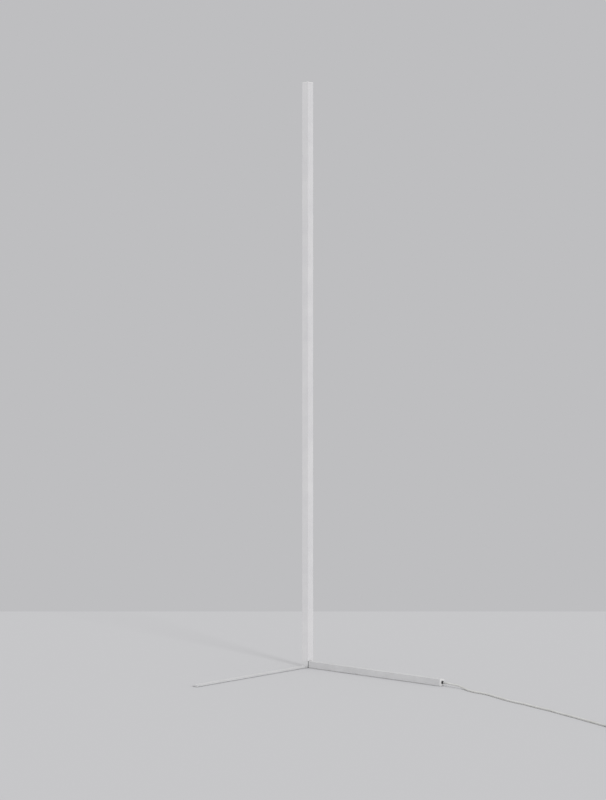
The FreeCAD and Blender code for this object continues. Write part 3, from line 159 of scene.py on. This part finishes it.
finishes = {
    # Powder baked on steel: a satin skin with an orange peel about 2 mm across, drawn at 5 mm so
    # that it shows
    "white_steel": surface(
        "powder_coated_steel", "#D6D6D7", "#CFCFD0", patch_mm=60, grain_mm=5, height_mm=0.08,
        rough=0.42, rough_swing=0.05, dust=0.04),
    # The same coat on drawn aluminium, whose faint die lines run up the stem, drawn 4 mm apart so
    # that they show
    "white_aluminium": surface(
        "powder_coated_extrusion", "#E5E4E5", "#DEDDDF", patch_mm=90, grain_mm=4, height_mm=0.06,
        rough=0.4, rough_swing=0.05, stretch=(1, 1, 0.02)),
    # The same coat on a die casting: the metal under it is wavy, and so is the coat
    "white_casting": surface(
        "powder_coated_casting", "#E0E0E1", "#D8D8D9", patch_mm=18, grain_mm=3, height_mm=0.07,
        rough=0.46, rough_swing=0.06),
    # An extruded milky cover: light sinks a little way in, and its smooth skin has faint long lines
    "opal": surface(
        "extruded_opal_polycarbonate", "#ECECE9", "#E5E6E2", patch_mm=110, grain_mm=3,
        height_mm=0.01, rough=0.34, rough_swing=0.04, stretch=(1, 1, 0.02), ior=1.58, depth_mm=2),
    # Injection moulding with a fine spark-eroded grain, drawn at 0.8 mm so that it shows
    "white_plastic": surface(
        "moulded_white_abs", "#F0EFEF", "#E9E8E8", patch_mm=20, grain_mm=0.8, height_mm=0.03,
        rough=0.48, rough_swing=0.05, ior=1.54, dust=0.04),
    # Moulded foot rubber: dull, with a grey bloom
    "clear_pad": surface(
        "moulded_epdm_pad", "#38383A", "#48484A", patch_mm=6, grain_mm=1, height_mm=0.04,
        rough=0.82, rough_swing=0.08, ior=1.52),
    # The collar's and the gasket's rubber: near black, with a soft sheen along its edges
    "black_rubber": surface(
        "moulded_black_rubber", "#19191B", "#242426", patch_mm=5, grain_mm=0.7, height_mm=0.02,
        rough=0.55, rough_swing=0.08, ior=1.52),
    # Boots moulded on the flex: the same soft PVC as its jacket but duller; their greyer tone is
    # painted shade, standing in for the shade on the leg boot's side
    "white_rubber": surface(
        "moulded_soft_pvc_painted_shade", "#CACAC9", "#C0C0BF", patch_mm=7, grain_mm=0.9, height_mm=0.02,
        rough=0.55, rough_swing=0.06, ior=1.53),
    # The flex's jacket: smooth, with a slow swell where the laid cores inside press it
    "cord_white": surface(
        "extruded_pvc_jacket", "#D8D8D6", "#CECECB", patch_mm=35, grain_mm=9, height_mm=0.15,
        rough=0.38, rough_swing=0.06, ior=1.53),
    # Zinc on turned screws: a cool grey metal with cloudy patches
    "zinc_steel": surface(
        "bright_zinc_plate", "#C9CCCF", "#B0B5BA", patch_mm=2, grain_mm=0.5, height_mm=0.01,
        rough=0.35, rough_swing=0.05, metallic=1),
    # Bare bar stock: dark, with draw lines along its length
    "raw_steel": surface(
        "cold_drawn_steel", "#8B8C8E", "#6C6D70", patch_mm=12, grain_mm=1, height_mm=0.03,
        rough=0.42, rough_swing=0.1, metallic=1, stretch=(0.03, 1, 1)),
    # The light boards' varnish: glossy, with the glass weave just telling through
    "board_white": surface(
        "white_solder_mask", "#ECEDEA", "#DFE0DB", patch_mm=8, grain_mm=0.8, height_mm=0.01,
        rough=0.34, rough_swing=0.05),
    # Yellow phosphor in clear silicone, cast on each light chip
    "chip_yellow": surface(
        "cast_phosphor_silicone", "#E0BC45", "#CFA838", patch_mm=1, grain_mm=0.3, height_mm=0.01,
        rough=0.35, rough_swing=0.05, ior=1.45, depth_mm=0.4),
    # Green varnish over copper tracks
    "board_green": surface(
        "green_solder_mask", "#1F6B3C", "#154F2D", patch_mm=3, grain_mm=0.8, height_mm=0.02,
        rough=0.35, rough_swing=0.05),
    # Sintered ferrite with its winding under tape: matt and dark
    "ferrite": surface(
        "taped_ferrite", "#2E2B2A", "#3D3936", patch_mm=2, grain_mm=0.4, height_mm=0.03,
        rough=0.6, rough_swing=0.1, ior=1.6),
    # A blue-black plastic sleeve shrunk on an aluminium can, tight and glossy
    "capacitor": surface(
        "shrink_sleeve", "#23253B", "#1A1C2D", patch_mm=4, grain_mm=1, height_mm=0.01,
        rough=0.2, rough_swing=0.06, ior=1.54),
    # The driver's flame-proof case: light grey with a fine moulded grain
    "driver_case": surface(
        "moulded_grey_polycarbonate", "#D7D7D3", "#CDCDC8", patch_mm=14, grain_mm=0.8,
        height_mm=0.03, rough=0.5, rough_swing=0.06, ior=1.58),
    # Undyed moulded nylon: waxy and slightly yellow
    "terminal_plastic": surface(
        "moulded_natural_nylon", "#D8D3C4", "#CCC6B3", patch_mm=5, grain_mm=0.7, height_mm=0.02,
        rough=0.45, rough_swing=0.06, ior=1.53, depth_mm=0.6),
    # Brown insulation extruded on copper cores: smooth, with a dull shine
    "core_brown": surface(
        "brown_core_insulation", "#5B3420", "#4A2918", patch_mm=5, grain_mm=1, height_mm=0.01,
        rough=0.4, rough_swing=0.06, ior=1.53),
    # Thin red insulation extruded on the low-voltage leads: smooth, with a dull shine
    "lead_red": surface(
        "red_lead_insulation", "#A5241F", "#8C1B17", patch_mm=5, grain_mm=1, height_mm=0.01,
        rough=0.4, rough_swing=0.06, ior=1.53),
    # Bright drawn spring wire, smooth enough to mirror
    "spring_steel": surface(
        "drawn_spring_wire", "#B9BBBE", "#A0A2A5", patch_mm=1, grain_mm=0.3, height_mm=0.005,
        rough=0.2, rough_swing=0.06, metallic=1),
    # Nickel plate on turned brass pins: warm and bright, rubbed lengthways by sockets
    "nickel": surface(
        "nickel_plated_brass", "#CFCBC0", "#B9B4A7", patch_mm=3, grain_mm=0.6, height_mm=0.01,
        rough=0.2, rough_swing=0.06, metallic=1, stretch=(1, 0.08, 1)),
    # Woven hook-and-loop strap: dull looped pile, its loops drawn 1 mm apart so that they show
    "strap": surface(
        "woven_nylon_strap", "#2A2A2D", "#3C3C40", patch_mm=2, grain_mm=1, height_mm=0.35,
        rough=0.9, rough_swing=0.05, ior=1.53, sheen=0.4),
}


def dress(piece, finish):
    piece.data.materials.clear()
    piece.data.materials.append(finishes[finish])


def dress_nodes():
    """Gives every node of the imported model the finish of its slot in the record."""
    slots = {entry["node"]: entry["material_slot"] for entry in frame["record"]["subparts"]}
    for name, piece in frame["nodes"].items():
        dress(piece, slots[name])


# Pieces made here

def declare(piece, finish, body="root", replaced=()):
    """Dresses a finished piece, hangs it on the body it rides on and hides the nodes it stands for."""
    dress(piece, finish)
    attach(piece, body)
    if replaced:
        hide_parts(*replaced)
    return piece


def new_object(name, data):
    piece = bpy.data.objects.new(name, data)
    bpy.context.scene.collection.objects.link(piece)
    return piece


def node_box(name):
    """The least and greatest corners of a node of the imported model, and its middle."""
    low, high = (Vector(corner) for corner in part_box(name))
    return low, high, (low + high) / 2


def as_data(mesh, name):
    """An edited mesh as an object's data."""
    data = bpy.data.meshes.new(name)
    mesh.to_mesh(data)
    mesh.free()
    return data


def skin(name, rings):
    """A closed smooth skin over rings of equal count, capped at its ends."""
    mesh = bmesh.new()
    rows = [[mesh.verts.new(point) for point in ring] for ring in rings]
    count = len(rows[0])
    for row, after in zip(rows, rows[1:]):
        for i in range(count):
            j = (i + 1) % count
            mesh.faces.new((row[i], row[j], after[j], after[i]))
    mesh.faces.new(list(reversed(rows[0])))
    mesh.faces.new(rows[-1])
    bmesh.ops.recalc_face_normals(mesh, faces=mesh.faces)
    return as_data(mesh, name)


# Copies of the foot switch's halves, with eased edges, and of its spring

WELD = 0.01 * MM
FLAT = math.radians(1)
SHARP = math.radians(50)
EASING = 0.35 * MM
EASING_STEPS = 2


def copy_of(node, name):
    """A new object with a node's mesh, its loose triangles joined."""
    mesh = bmesh.new()
    mesh.from_mesh(frame["nodes"][node].data)
    bmesh.ops.remove_doubles(mesh, verts=mesh.verts, dist=WELD)
    bmesh.ops.dissolve_limit(mesh, angle_limit=FLAT, verts=mesh.verts, edges=mesh.edges)
    bmesh.ops.recalc_face_normals(mesh, faces=mesh.faces)
    for face in mesh.faces:
        face.smooth = True
    return new_object(name, as_data(mesh, name))


def give_spring():
    """The spring under the button, as a copy with a mesh of its own."""
    piece = declare(copy_of("switch_spring", "button_spring"), "spring_steel",
                    replaced=["switch_spring"])
    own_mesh(piece)
    return piece


def ease(node, slot):
    """A copy of a node with its sharp edges eased, so that its joint with the next one shows."""
    piece = copy_of(node, node + "_eased")
    bevel = piece.modifiers.new("eased_edges", "BEVEL")
    bevel.width = EASING
    bevel.segments = EASING_STEPS
    bevel.limit_method = "ANGLE"
    bevel.angle_limit = SHARP
    piece.modifiers.new("even_shading", "WEIGHTED_NORMAL")
    return declare(piece, slot, replaced=[node])


# The flex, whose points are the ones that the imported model's tubes follow

CORD_RADIUS = 3 * MM
COLLAR_RISE = 6 * MM
BOOT_REACH = 12.5 * MM
BOOT_BEND = math.radians(5)
CORD_LEAD = 14 * MM
CORD_ROUNDNESS = 6
CORD_SMOOTHNESS = 8
CORD_ORDER = 3
RUN_POINTS_MM = [
    (596, -2.7, 8.9), (612, -3.5, 8.2), (628, -7.5, 5.6), (645, -14.5, 3.2), (661, -23, 3),
    (680, -31.5, 3), (702, -37, 3), (727, -39.5, 3), (751, -44, 3), (782, -58, 3),
    (808, -68.5, 3), (838, -82, 3), (872, -94, 3), (922, -104, 3), (976, -124.5, 3),
    (1030, -139, 3), (1082, -161, 3), (1132, -177.5, 3), (1184, -199, 3), (1232, -216.5, 3),
    (1262, -230, 3), (1290, -236, 8), (1312, -236, 8),
]
SWITCH_Y_MM = -236
LINK_START_MM = 1428
LINK_RUN_MM = 16
LINK_HEIGHT_MM = 8
COIL_X_MM = 1482
COIL_MEAN_MM = 35
COIL_PITCH_MM = 6.5
COIL_TURNS = 5.25
COIL_START_TURNS = -0.25  # from +X
COIL_CLIMB_TURNS = 0.5  # the middle stretch, in which the coil climbs a layer
COIL_LOW_MM = 4.3
COIL_END_MM = 6
STEPS_PER_TURN = 24
TAIL_RUN_MM = 16
TAIL_SIDE_MM = 2
PLUG_MIDDLE_MM = 6.85
coil_outside_mm = COIL_MEAN_MM + COIL_PITCH_MM * COIL_TURNS / 4
coil_y_mm = SWITCH_Y_MM + coil_outside_mm
_, leg_high, leg_middle = node_box("leg_end_cap")
boot_mouth = Vector((leg_high.x + COLLAR_RISE, leg_middle.y, leg_middle.z))


def boot_way(share):
    return Vector((math.cos(BOOT_BEND * share), 0, -math.sin(BOOT_BEND * share)))


def boot_place(share):
    """Where the leg's boot has its middle line, from the collar's mouth to its tip."""
    way = boot_way(share)
    return boot_mouth + BOOT_REACH / BOOT_BEND * Vector((-way.z, 0, way.x - 1))


def coil_place(turns):
    """Where the coil's middle line is, in millimetres: in to the middle and out a layer higher."""
    radius = coil_outside_mm - COIL_PITCH_MM * min(turns, COIL_TURNS - turns)
    climb = min(max((turns - COIL_TURNS / 2) / COIL_CLIMB_TURNS + 0.5, 0), 1)
    angle = 2 * math.pi * (turns + COIL_START_TURNS)
    return Vector((COIL_X_MM + radius * math.cos(angle), coil_y_mm + radius * math.sin(angle),
                   COIL_LOW_MM + climb * COIL_PITCH_MM))


def flex(name, points, *replaced):
    """A round flex along one smooth line that the points pull on."""
    curve = bpy.data.curves.new(name, "CURVE")
    curve.dimensions = "3D"
    curve.bevel_depth = CORD_RADIUS
    curve.bevel_resolution = CORD_ROUNDNESS
    curve.resolution_u = CORD_SMOOTHNESS
    curve.use_fill_caps = True
    spline = curve.splines.new("NURBS")
    spline.points.add(len(points) - 1)
    for point, place in zip(spline.points, points):
        point.co = (*place, 1)
    spline.order_u = CORD_ORDER
    spline.use_endpoint_u = True
    return declare(new_object(name, curve), "cord_white", replaced=replaced)


def lay_run():
    """The flex on the floor from the leg's boot to the foot switch."""
    tip = boot_place(1)
    points = [tip, tip + CORD_LEAD * boot_way(1)] + [Vector(point) * MM for point in RUN_POINTS_MM]
    piece = flex("flex_to_switch", points, "cord_run")


def lay_coil():
    """The flex from the foot switch, put away in a coil, to the plug."""
    start = Vector((LINK_START_MM, SWITCH_Y_MM, LINK_HEIGHT_MM))
    first, last = coil_place(0), coil_place(COIL_TURNS)
    points = [start, start + Vector((LINK_RUN_MM, 0, 0)),
              Vector((LINK_START_MM + 2 * LINK_RUN_MM, SWITCH_Y_MM, COIL_LOW_MM)),
              first - Vector((COIL_END_MM, 0, 0))]
    steps = math.ceil(COIL_TURNS * STEPS_PER_TURN)
    points += [coil_place(COIL_TURNS * i / steps) for i in range(steps + 1)]
    leave = last + Vector((0, COIL_END_MM, 0))
    tip = Vector((leave.x + TAIL_SIDE_MM, leave.y + 3 * TAIL_RUN_MM, PLUG_MIDDLE_MM))
    points += [leave, leave + Vector((0, TAIL_RUN_MM, 0)), tip - Vector((0, TAIL_RUN_MM, 0)), tip]
    piece = flex("flex_to_plug", [point * MM for point in points],
                 "cord_link", "cord_coil", "cord_tail")


# The strap round the coil: it laps over itself on top

STRAP_THICK = 0.65 * MM
STRAP_TURNS = 1.3
STRAP_START_TURNS = -0.15  # from straight up
STRAP_STEPS = 104
STRAP_SQUARENESS = 0.36  # 1 gives an oval, and less gives a squarer loop
STRAP_CHAMFER_SHARE = 0.3
STRAP_PROBE_TURNS = 0.002


def strap_place(turns, reach):
    """Where the strap's middle is across the coil, each layer lying on the one before."""
    angle = 2 * math.pi * (turns + STRAP_START_TURNS)
    across, up = (math.copysign(abs(share) ** STRAP_SQUARENESS, share)
                  for share in (math.sin(angle), math.cos(angle)))
    lift = STRAP_THICK * (turns - STRAP_TURNS - 0.5)
    return Vector((0, across * (reach.y + lift), up * (reach.z + lift)))


def make_strap():
    low, high, middle = node_box("coil_tie")
    reach = (high - low) / 2
    side = Vector((reach.x, 0, 0))
    near = 1 - STRAP_CHAMFER_SHARE * STRAP_THICK / reach.x
    soft = 1 - STRAP_CHAMFER_SHARE
    outline = ((-near, -1), (near, -1), (1, -soft), (1, soft), (near, 1), (-near, 1), (-1, soft),
               (-1, -soft))
    rings = []
    for i in range(STRAP_STEPS + 1):
        turns = STRAP_TURNS * i / STRAP_STEPS
        way = (strap_place(turns + STRAP_PROBE_TURNS, reach)
               - strap_place(turns - STRAP_PROBE_TURNS, reach))
        out = Vector((0, -way.z, way.y)).normalized() * STRAP_THICK / 2
        place = middle + strap_place(turns, reach)
        rings.append([place + side * across + out * over for across, over in outline])
    piece = new_object("coil_strap", skin("coil_strap", rings))
    return declare(piece, "strap", replaced=["coil_tie"])


# Moulded grips, made by geometry nodes

BEAD = 0.45 * MM
RIB_STEPS = 17
RIB_SIDES = 12
RING_STEPS = 48
RING_SIDES = 8
RIB_ROUNDING = 0.35  # how soon a rib fades out at its ends
RIB_END = 0.3
BOOT_ROOT = 3.5 * MM
BOOT_TIP = 3.3 * MM
BOOT_RINGS = 4
LONG_BOOT_REACH = 20 * MM  # on the foot switch and the plug
PLUG_BOOT_ROOT = 5 * MM
BUTTON_RINGS = 4
BUTTON_FIRST_RING = 2.5 * MM
BUTTON_RING_STEP = 2.2 * MM
PLUG_RIBS = 5
PLUG_RIB_PITCH = 2.6 * MM
PLUG_RIB_LENGTH = 9 * MM
PLUG_RIB_INSET = 3 * MM  # from the rear of the plug's block to the first rib


def grip_tree(name, **sockets):
    """An empty geometry tree with named inputs, and its input and output nodes."""
    tree = bpy.data.node_groups.new(name, "GeometryNodeTree")
    tree.interface.new_socket("Geometry", in_out="OUTPUT", socket_type="NodeSocketGeometry")
    for label, kind in sockets.items():
        tree.interface.new_socket(label, in_out="INPUT", socket_type="NodeSocket" + kind)
    return tree, add(tree, "NodeGroupInput").outputs, add(tree, "NodeGroupOutput")


def finish_tree(tree, given, output, geometry):
    """Makes the copies real, gives them their finish and sends them out."""
    real = add(tree, "GeometryNodeRealizeInstances", {"Geometry": geometry})
    dressed = add(tree, "GeometryNodeSetMaterial", {
        "Geometry": real.outputs[0], "Material": given["finish"]})
    tree.links.new(dressed.outputs[0], output.inputs["Geometry"])


def rib_tree():
    """Straight ribs across, side by side along Y, each a bead that fades out at its ends."""
    tree, given, output = grip_tree(
        "rib_row", count="Int", pitch="Float", length="Float", bead="Float", finish="Material")
    half = add(tree, "ShaderNodeMath", {0: given["length"], 1: 0.5}, operation="MULTIPLY")
    back = add(tree, "ShaderNodeMath", {0: half.outputs[0], 1: -1}, operation="MULTIPLY")
    line = add(tree, "GeometryNodeCurvePrimitiveLine", {
        "Start": add(tree, "ShaderNodeCombineXYZ", {"X": back.outputs[0]}).outputs[0],
        "End": add(tree, "ShaderNodeCombineXYZ", {"X": half.outputs[0]}).outputs[0]})
    fine = add(tree, "GeometryNodeResampleCurve", {"Curve": line.outputs[0], "Count": RIB_STEPS})
    along = add(tree, "GeometryNodeSplineParameter").outputs["Factor"]
    angle = add(tree, "ShaderNodeMath", {0: along, 1: math.pi}, operation="MULTIPLY")
    swell = add(tree, "ShaderNodeMath", {0: angle.outputs[0]}, operation="SINE", use_clamp=True)
    fading = add(tree, "ShaderNodeMath", {0: swell.outputs[0], 1: RIB_ROUNDING},
                 operation="POWER")
    ended = add(tree, "ShaderNodeMath", {0: fading.outputs[0], 1: RIB_END}, operation="MAXIMUM")
    shaped = add(tree, "GeometryNodeSetCurveRadius", {
        "Curve": fine.outputs[0], "Radius": ended.outputs[0]})
    bead = add(tree, "GeometryNodeCurvePrimitiveCircle", {
        "Resolution": RIB_SIDES, "Radius": given["bead"]})
    rib = add(tree, "GeometryNodeCurveToMesh", {
        "Curve": shaped.outputs[0], "Profile Curve": bead.outputs["Curve"], "Fill Caps": True})
    step = add(tree, "ShaderNodeCombineXYZ", {"Y": given["pitch"]})
    row = add(tree, "GeometryNodeMeshLine", {"Count": given["count"], "Offset": step.outputs[0]})
    copies = add(tree, "GeometryNodeInstanceOnPoints", {
        "Points": row.outputs[0], "Instance": rib.outputs[0]})
    finish_tree(tree, given, output, copies.outputs[0])
    return tree


def ring_tree():
    """Rings about Z: in a row up a taper, or one inside the other where the rise is nothing."""
    tree, given, output = grip_tree(
        "ring_row", count="Int", radius="Float", step="Float", rise="Float", bead="Float",
        finish="Material")
    up = add(tree, "ShaderNodeCombineXYZ", {"Z": given["rise"]})
    row = add(tree, "GeometryNodeMeshLine", {"Count": given["count"], "Offset": up.outputs[0]})
    index = add(tree, "GeometryNodeInputIndex").outputs[0]
    wide = add(tree, "ShaderNodeMath", {0: index, 1: given["step"], 2: given["radius"]},
               operation="MULTIPLY_ADD")
    circle = add(tree, "GeometryNodeCurvePrimitiveCircle", {"Resolution": RING_STEPS, "Radius": 1})
    rings = add(tree, "GeometryNodeInstanceOnPoints", {
        "Points": row.outputs[0], "Instance": circle.outputs["Curve"], "Scale": wide.outputs[0]})
    real = add(tree, "GeometryNodeRealizeInstances", {"Geometry": rings.outputs[0]})
    even = add(tree, "GeometryNodeSetCurveRadius", {"Curve": real.outputs[0], "Radius": 1})
    bead = add(tree, "GeometryNodeCurvePrimitiveCircle", {
        "Resolution": RING_SIDES, "Radius": given["bead"]})
    tubes = add(tree, "GeometryNodeCurveToMesh", {
        "Curve": even.outputs[0], "Profile Curve": bead.outputs["Curve"]})
    finish_tree(tree, given, output, tubes.outputs[0])
    return tree


def grown(name, tree, place, way, slot, body="root", **sizes):
    """A piece that a geometry tree makes, put at a place with its own Z along a direction."""
    piece = new_object(name, bpy.data.meshes.new(name))
    maker = piece.modifiers.new(name, "NODES")
    maker.node_group = tree
    sizes["finish"] = finishes[slot]
    for item in tree.interface.items_tree:
        if item.in_out == "INPUT":
            maker[item.identifier] = sizes[item.name]
    bpy.context.view_layer.update()
    data = bpy.data.meshes.new_from_object(
        piece.evaluated_get(bpy.context.evaluated_depsgraph_get()))
    piece.modifiers.remove(maker)
    turned = Vector((0, 0, 1)).rotation_difference(way).to_matrix().to_4x4()
    data.transform(Matrix.Translation(place) @ turned)
    mesh = bmesh.new()
    mesh.from_mesh(data)
    bmesh.ops.recalc_face_normals(mesh, faces=mesh.faces)
    for face in mesh.faces:
        face.smooth = True
    mesh.to_mesh(data)
    mesh.free()
    piece.data = data
    return declare(piece, slot, body)


def ring_boot(name, rings, start, end, root, tip):
    """Rings evenly up a tapered boot, from its root to its tip."""
    share = 1 / (BOOT_RINGS + 1)
    return grown(name, rings, start.lerp(end, share), end - start, "white_rubber",
                 count=BOOT_RINGS, radius=root + (tip - root) * share, step=(tip - root) * share,
                 rise=(end - start).length * share, bead=BEAD)


def make_grips():
    """The grips of the leg's boot, the foot switch and the plug, and those on each lead's end."""
    rings = ring_tree()
    ring_boot("leg_boot_rings", rings, boot_place(0), boot_place(1), BOOT_ROOT, BOOT_TIP)
    low, high, middle = node_box("switch_boots")
    sunk = Vector((LONG_BOOT_REACH, 0, 0))
    ends = (Vector((low.x, middle.y, middle.z)), Vector((high.x, middle.y, middle.z)))
    on_switch = [
        ring_boot("switch_boot_rings_in", rings, ends[0] + sunk, ends[0], BOOT_ROOT, BOOT_TIP),
        ring_boot("switch_boot_rings_out", rings, ends[1] - sunk, ends[1], BOOT_ROOT, BOOT_TIP)]
    _, high, middle = node_box("switch_button")
    top = Vector((middle.x, middle.y, high.z))
    on_switch.append(grown(
        "button_rings", rings, top, Vector((0, 0, 1)), "white_plastic", "foot_button",
        count=BUTTON_RINGS, radius=BUTTON_FIRST_RING, step=BUTTON_RING_STEP, rise=0.0, bead=BEAD))
    low, high, middle = node_box("plug_body")
    start = Vector((middle.x, low.y + LONG_BOOT_REACH + PLUG_RIB_INSET, high.z))
    on_lead = [grown(
        "plug_ribs", rib_tree(), start, Vector((0, 0, 1)), "white_plastic", count=PLUG_RIBS,
        pitch=PLUG_RIB_PITCH, length=PLUG_RIB_LENGTH, bead=BEAD)]
    rear = Vector((middle.x, low.y, middle.z))
    on_lead.append(ring_boot(
        "plug_boot_rings", rings, rear + Vector((0, LONG_BOOT_REACH, 0)), rear, PLUG_BOOT_ROOT,
        CORD_RADIUS))
    return on_switch, on_lead


# The stage

CAMERA_PLACE = (3.7036, -4.1505, 0.868)
CAMERA_TURN = 41.9
CAMERA_PITCH = 90  # level
FOCAL_PIXELS = 1711
IMAGE_HEIGHT_PIXELS = 800
SENSOR_MM = 36
BACKDROP_START = 1.46  # how far past the stem the floor gives way to the backdrop
FLOOR_SIZE = 160
AMBIENT = "#FFFFFF"
AMBIENT_STRENGTH = 0.86
BACKDROP = "#BEBEC0"
FLOOR = "#C9C9CB"

turn = math.radians(CAMERA_TURN)
view_right = Vector((math.cos(turn), math.sin(turn), 0))
view_ahead = Vector((-math.sin(turn), math.cos(turn), 0))


def make_world():
    """Even light from all round; the camera and any reflection see the backdrop's colour."""
    world = bpy.data.worlds.new("studio")
    bpy.context.scene.world = world
    world.use_nodes = True
    tree = world.node_tree
    tree.nodes.clear()
    rays = add(tree, "ShaderNodeLightPath").outputs
    seen = add(tree, "ShaderNodeMath", {
        0: rays["Is Camera Ray"], 1: rays["Is Glossy Ray"]}, operation="MAXIMUM")
    seen = add(tree, "ShaderNodeMath", {
        0: seen.outputs[0], 1: rays["Is Transmission Ray"]}, operation="MAXIMUM")
    ambient = add(tree, "ShaderNodeBackground", {
        "Color": linear(AMBIENT), "Strength": AMBIENT_STRENGTH})
    backdrop = add(tree, "ShaderNodeBackground", {"Color": linear(BACKDROP), "Strength": 1})
    mixed = add(tree, "ShaderNodeMixShader", {
        0: seen.outputs[0], 1: ambient.outputs[0], 2: backdrop.outputs[0]})
    add(tree, "ShaderNodeOutputWorld", {"Surface": mixed.outputs[0]})


def make_floor():
    """A plain floor; past a straight line behind the lamp, the camera sees the backdrop's colour."""
    material, tree = empty_material("studio_floor")
    place = add(tree, "ShaderNodeTexCoord").outputs["Object"]
    ahead = add(tree, "ShaderNodeVectorMath", {0: place, 1: view_ahead}, operation="DOT_PRODUCT")
    past = add(tree, "ShaderNodeMath", {0: ahead.outputs["Value"], 1: BACKDROP_START},
               operation="GREATER_THAN")
    rays = add(tree, "ShaderNodeLightPath").outputs
    shown = add(tree, "ShaderNodeMath", {0: past.outputs[0], 1: rays["Is Camera Ray"]},
                operation="MULTIPLY")
    floor = add(tree, "ShaderNodeBsdfDiffuse", {"Color": linear(FLOOR)})
    backdrop = add(tree, "ShaderNodeEmission", {"Color": linear(BACKDROP), "Strength": 1})
    mixed = add(tree, "ShaderNodeMixShader", {
        0: shown.outputs[0], 1: floor.outputs[0], 2: backdrop.outputs[0]})
    add(tree, "ShaderNodeOutputMaterial", {"Surface": mixed.outputs[0]})
    mesh = bmesh.new()
    half = FLOOR_SIZE / 2
    corners = ((-half, -half), (half, -half), (half, half), (-half, half))
    mesh.faces.new([mesh.verts.new((x, y, 0)) for x, y in corners])
    data = as_data(mesh, "studio_floor")
    data.materials.append(material)
    new_object("studio_floor", data)


def add_light(name, to_right, above, spread, strength):
    """Even light from far off.

    The angles are in degrees, seen from the stem while facing the camera's place. The spread is how
    wide the light looks from there.
    """
    data = bpy.data.lights.new(name, "SUN")
    data.energy = strength
    data.angle = math.radians(spread)
    side, rise = math.radians(to_right), math.radians(above)
    level = math.sin(side) * view_right - math.cos(side) * view_ahead
    source = math.cos(rise) * level + Vector((0, 0, math.sin(rise)))
    new_object(name, data).rotation_euler = source.to_track_quat("Z", "Y").to_euler()


def make_camera():
    data = bpy.data.cameras.new("camera")
    data.sensor_fit = "VERTICAL"
    data.sensor_height = SENSOR_MM
    data.lens = FOCAL_PIXELS / IMAGE_HEIGHT_PIXELS * SENSOR_MM
    camera = new_object("camera", data)
    camera.location = CAMERA_PLACE
    camera.rotation_euler = (math.radians(CAMERA_PITCH), 0, turn)
    bpy.context.scene.camera = camera


make_camera()
make_world()
make_floor()
add_light("key_from_right", to_right=31, above=34, spread=10, strength=0.6)
add_light("fill_from_left", to_right=-53, above=16, spread=40, strength=0.06)
bpy.context.scene.view_settings.view_transform = "Standard"

dress_nodes()
strap = make_strap()
on_switch, on_lead = make_grips()
on_switch += [ease(name, "white_plastic") for name in ("switch_base", "switch_cover")]
on_switch.append(give_spring())
lay_run()
lay_coil()
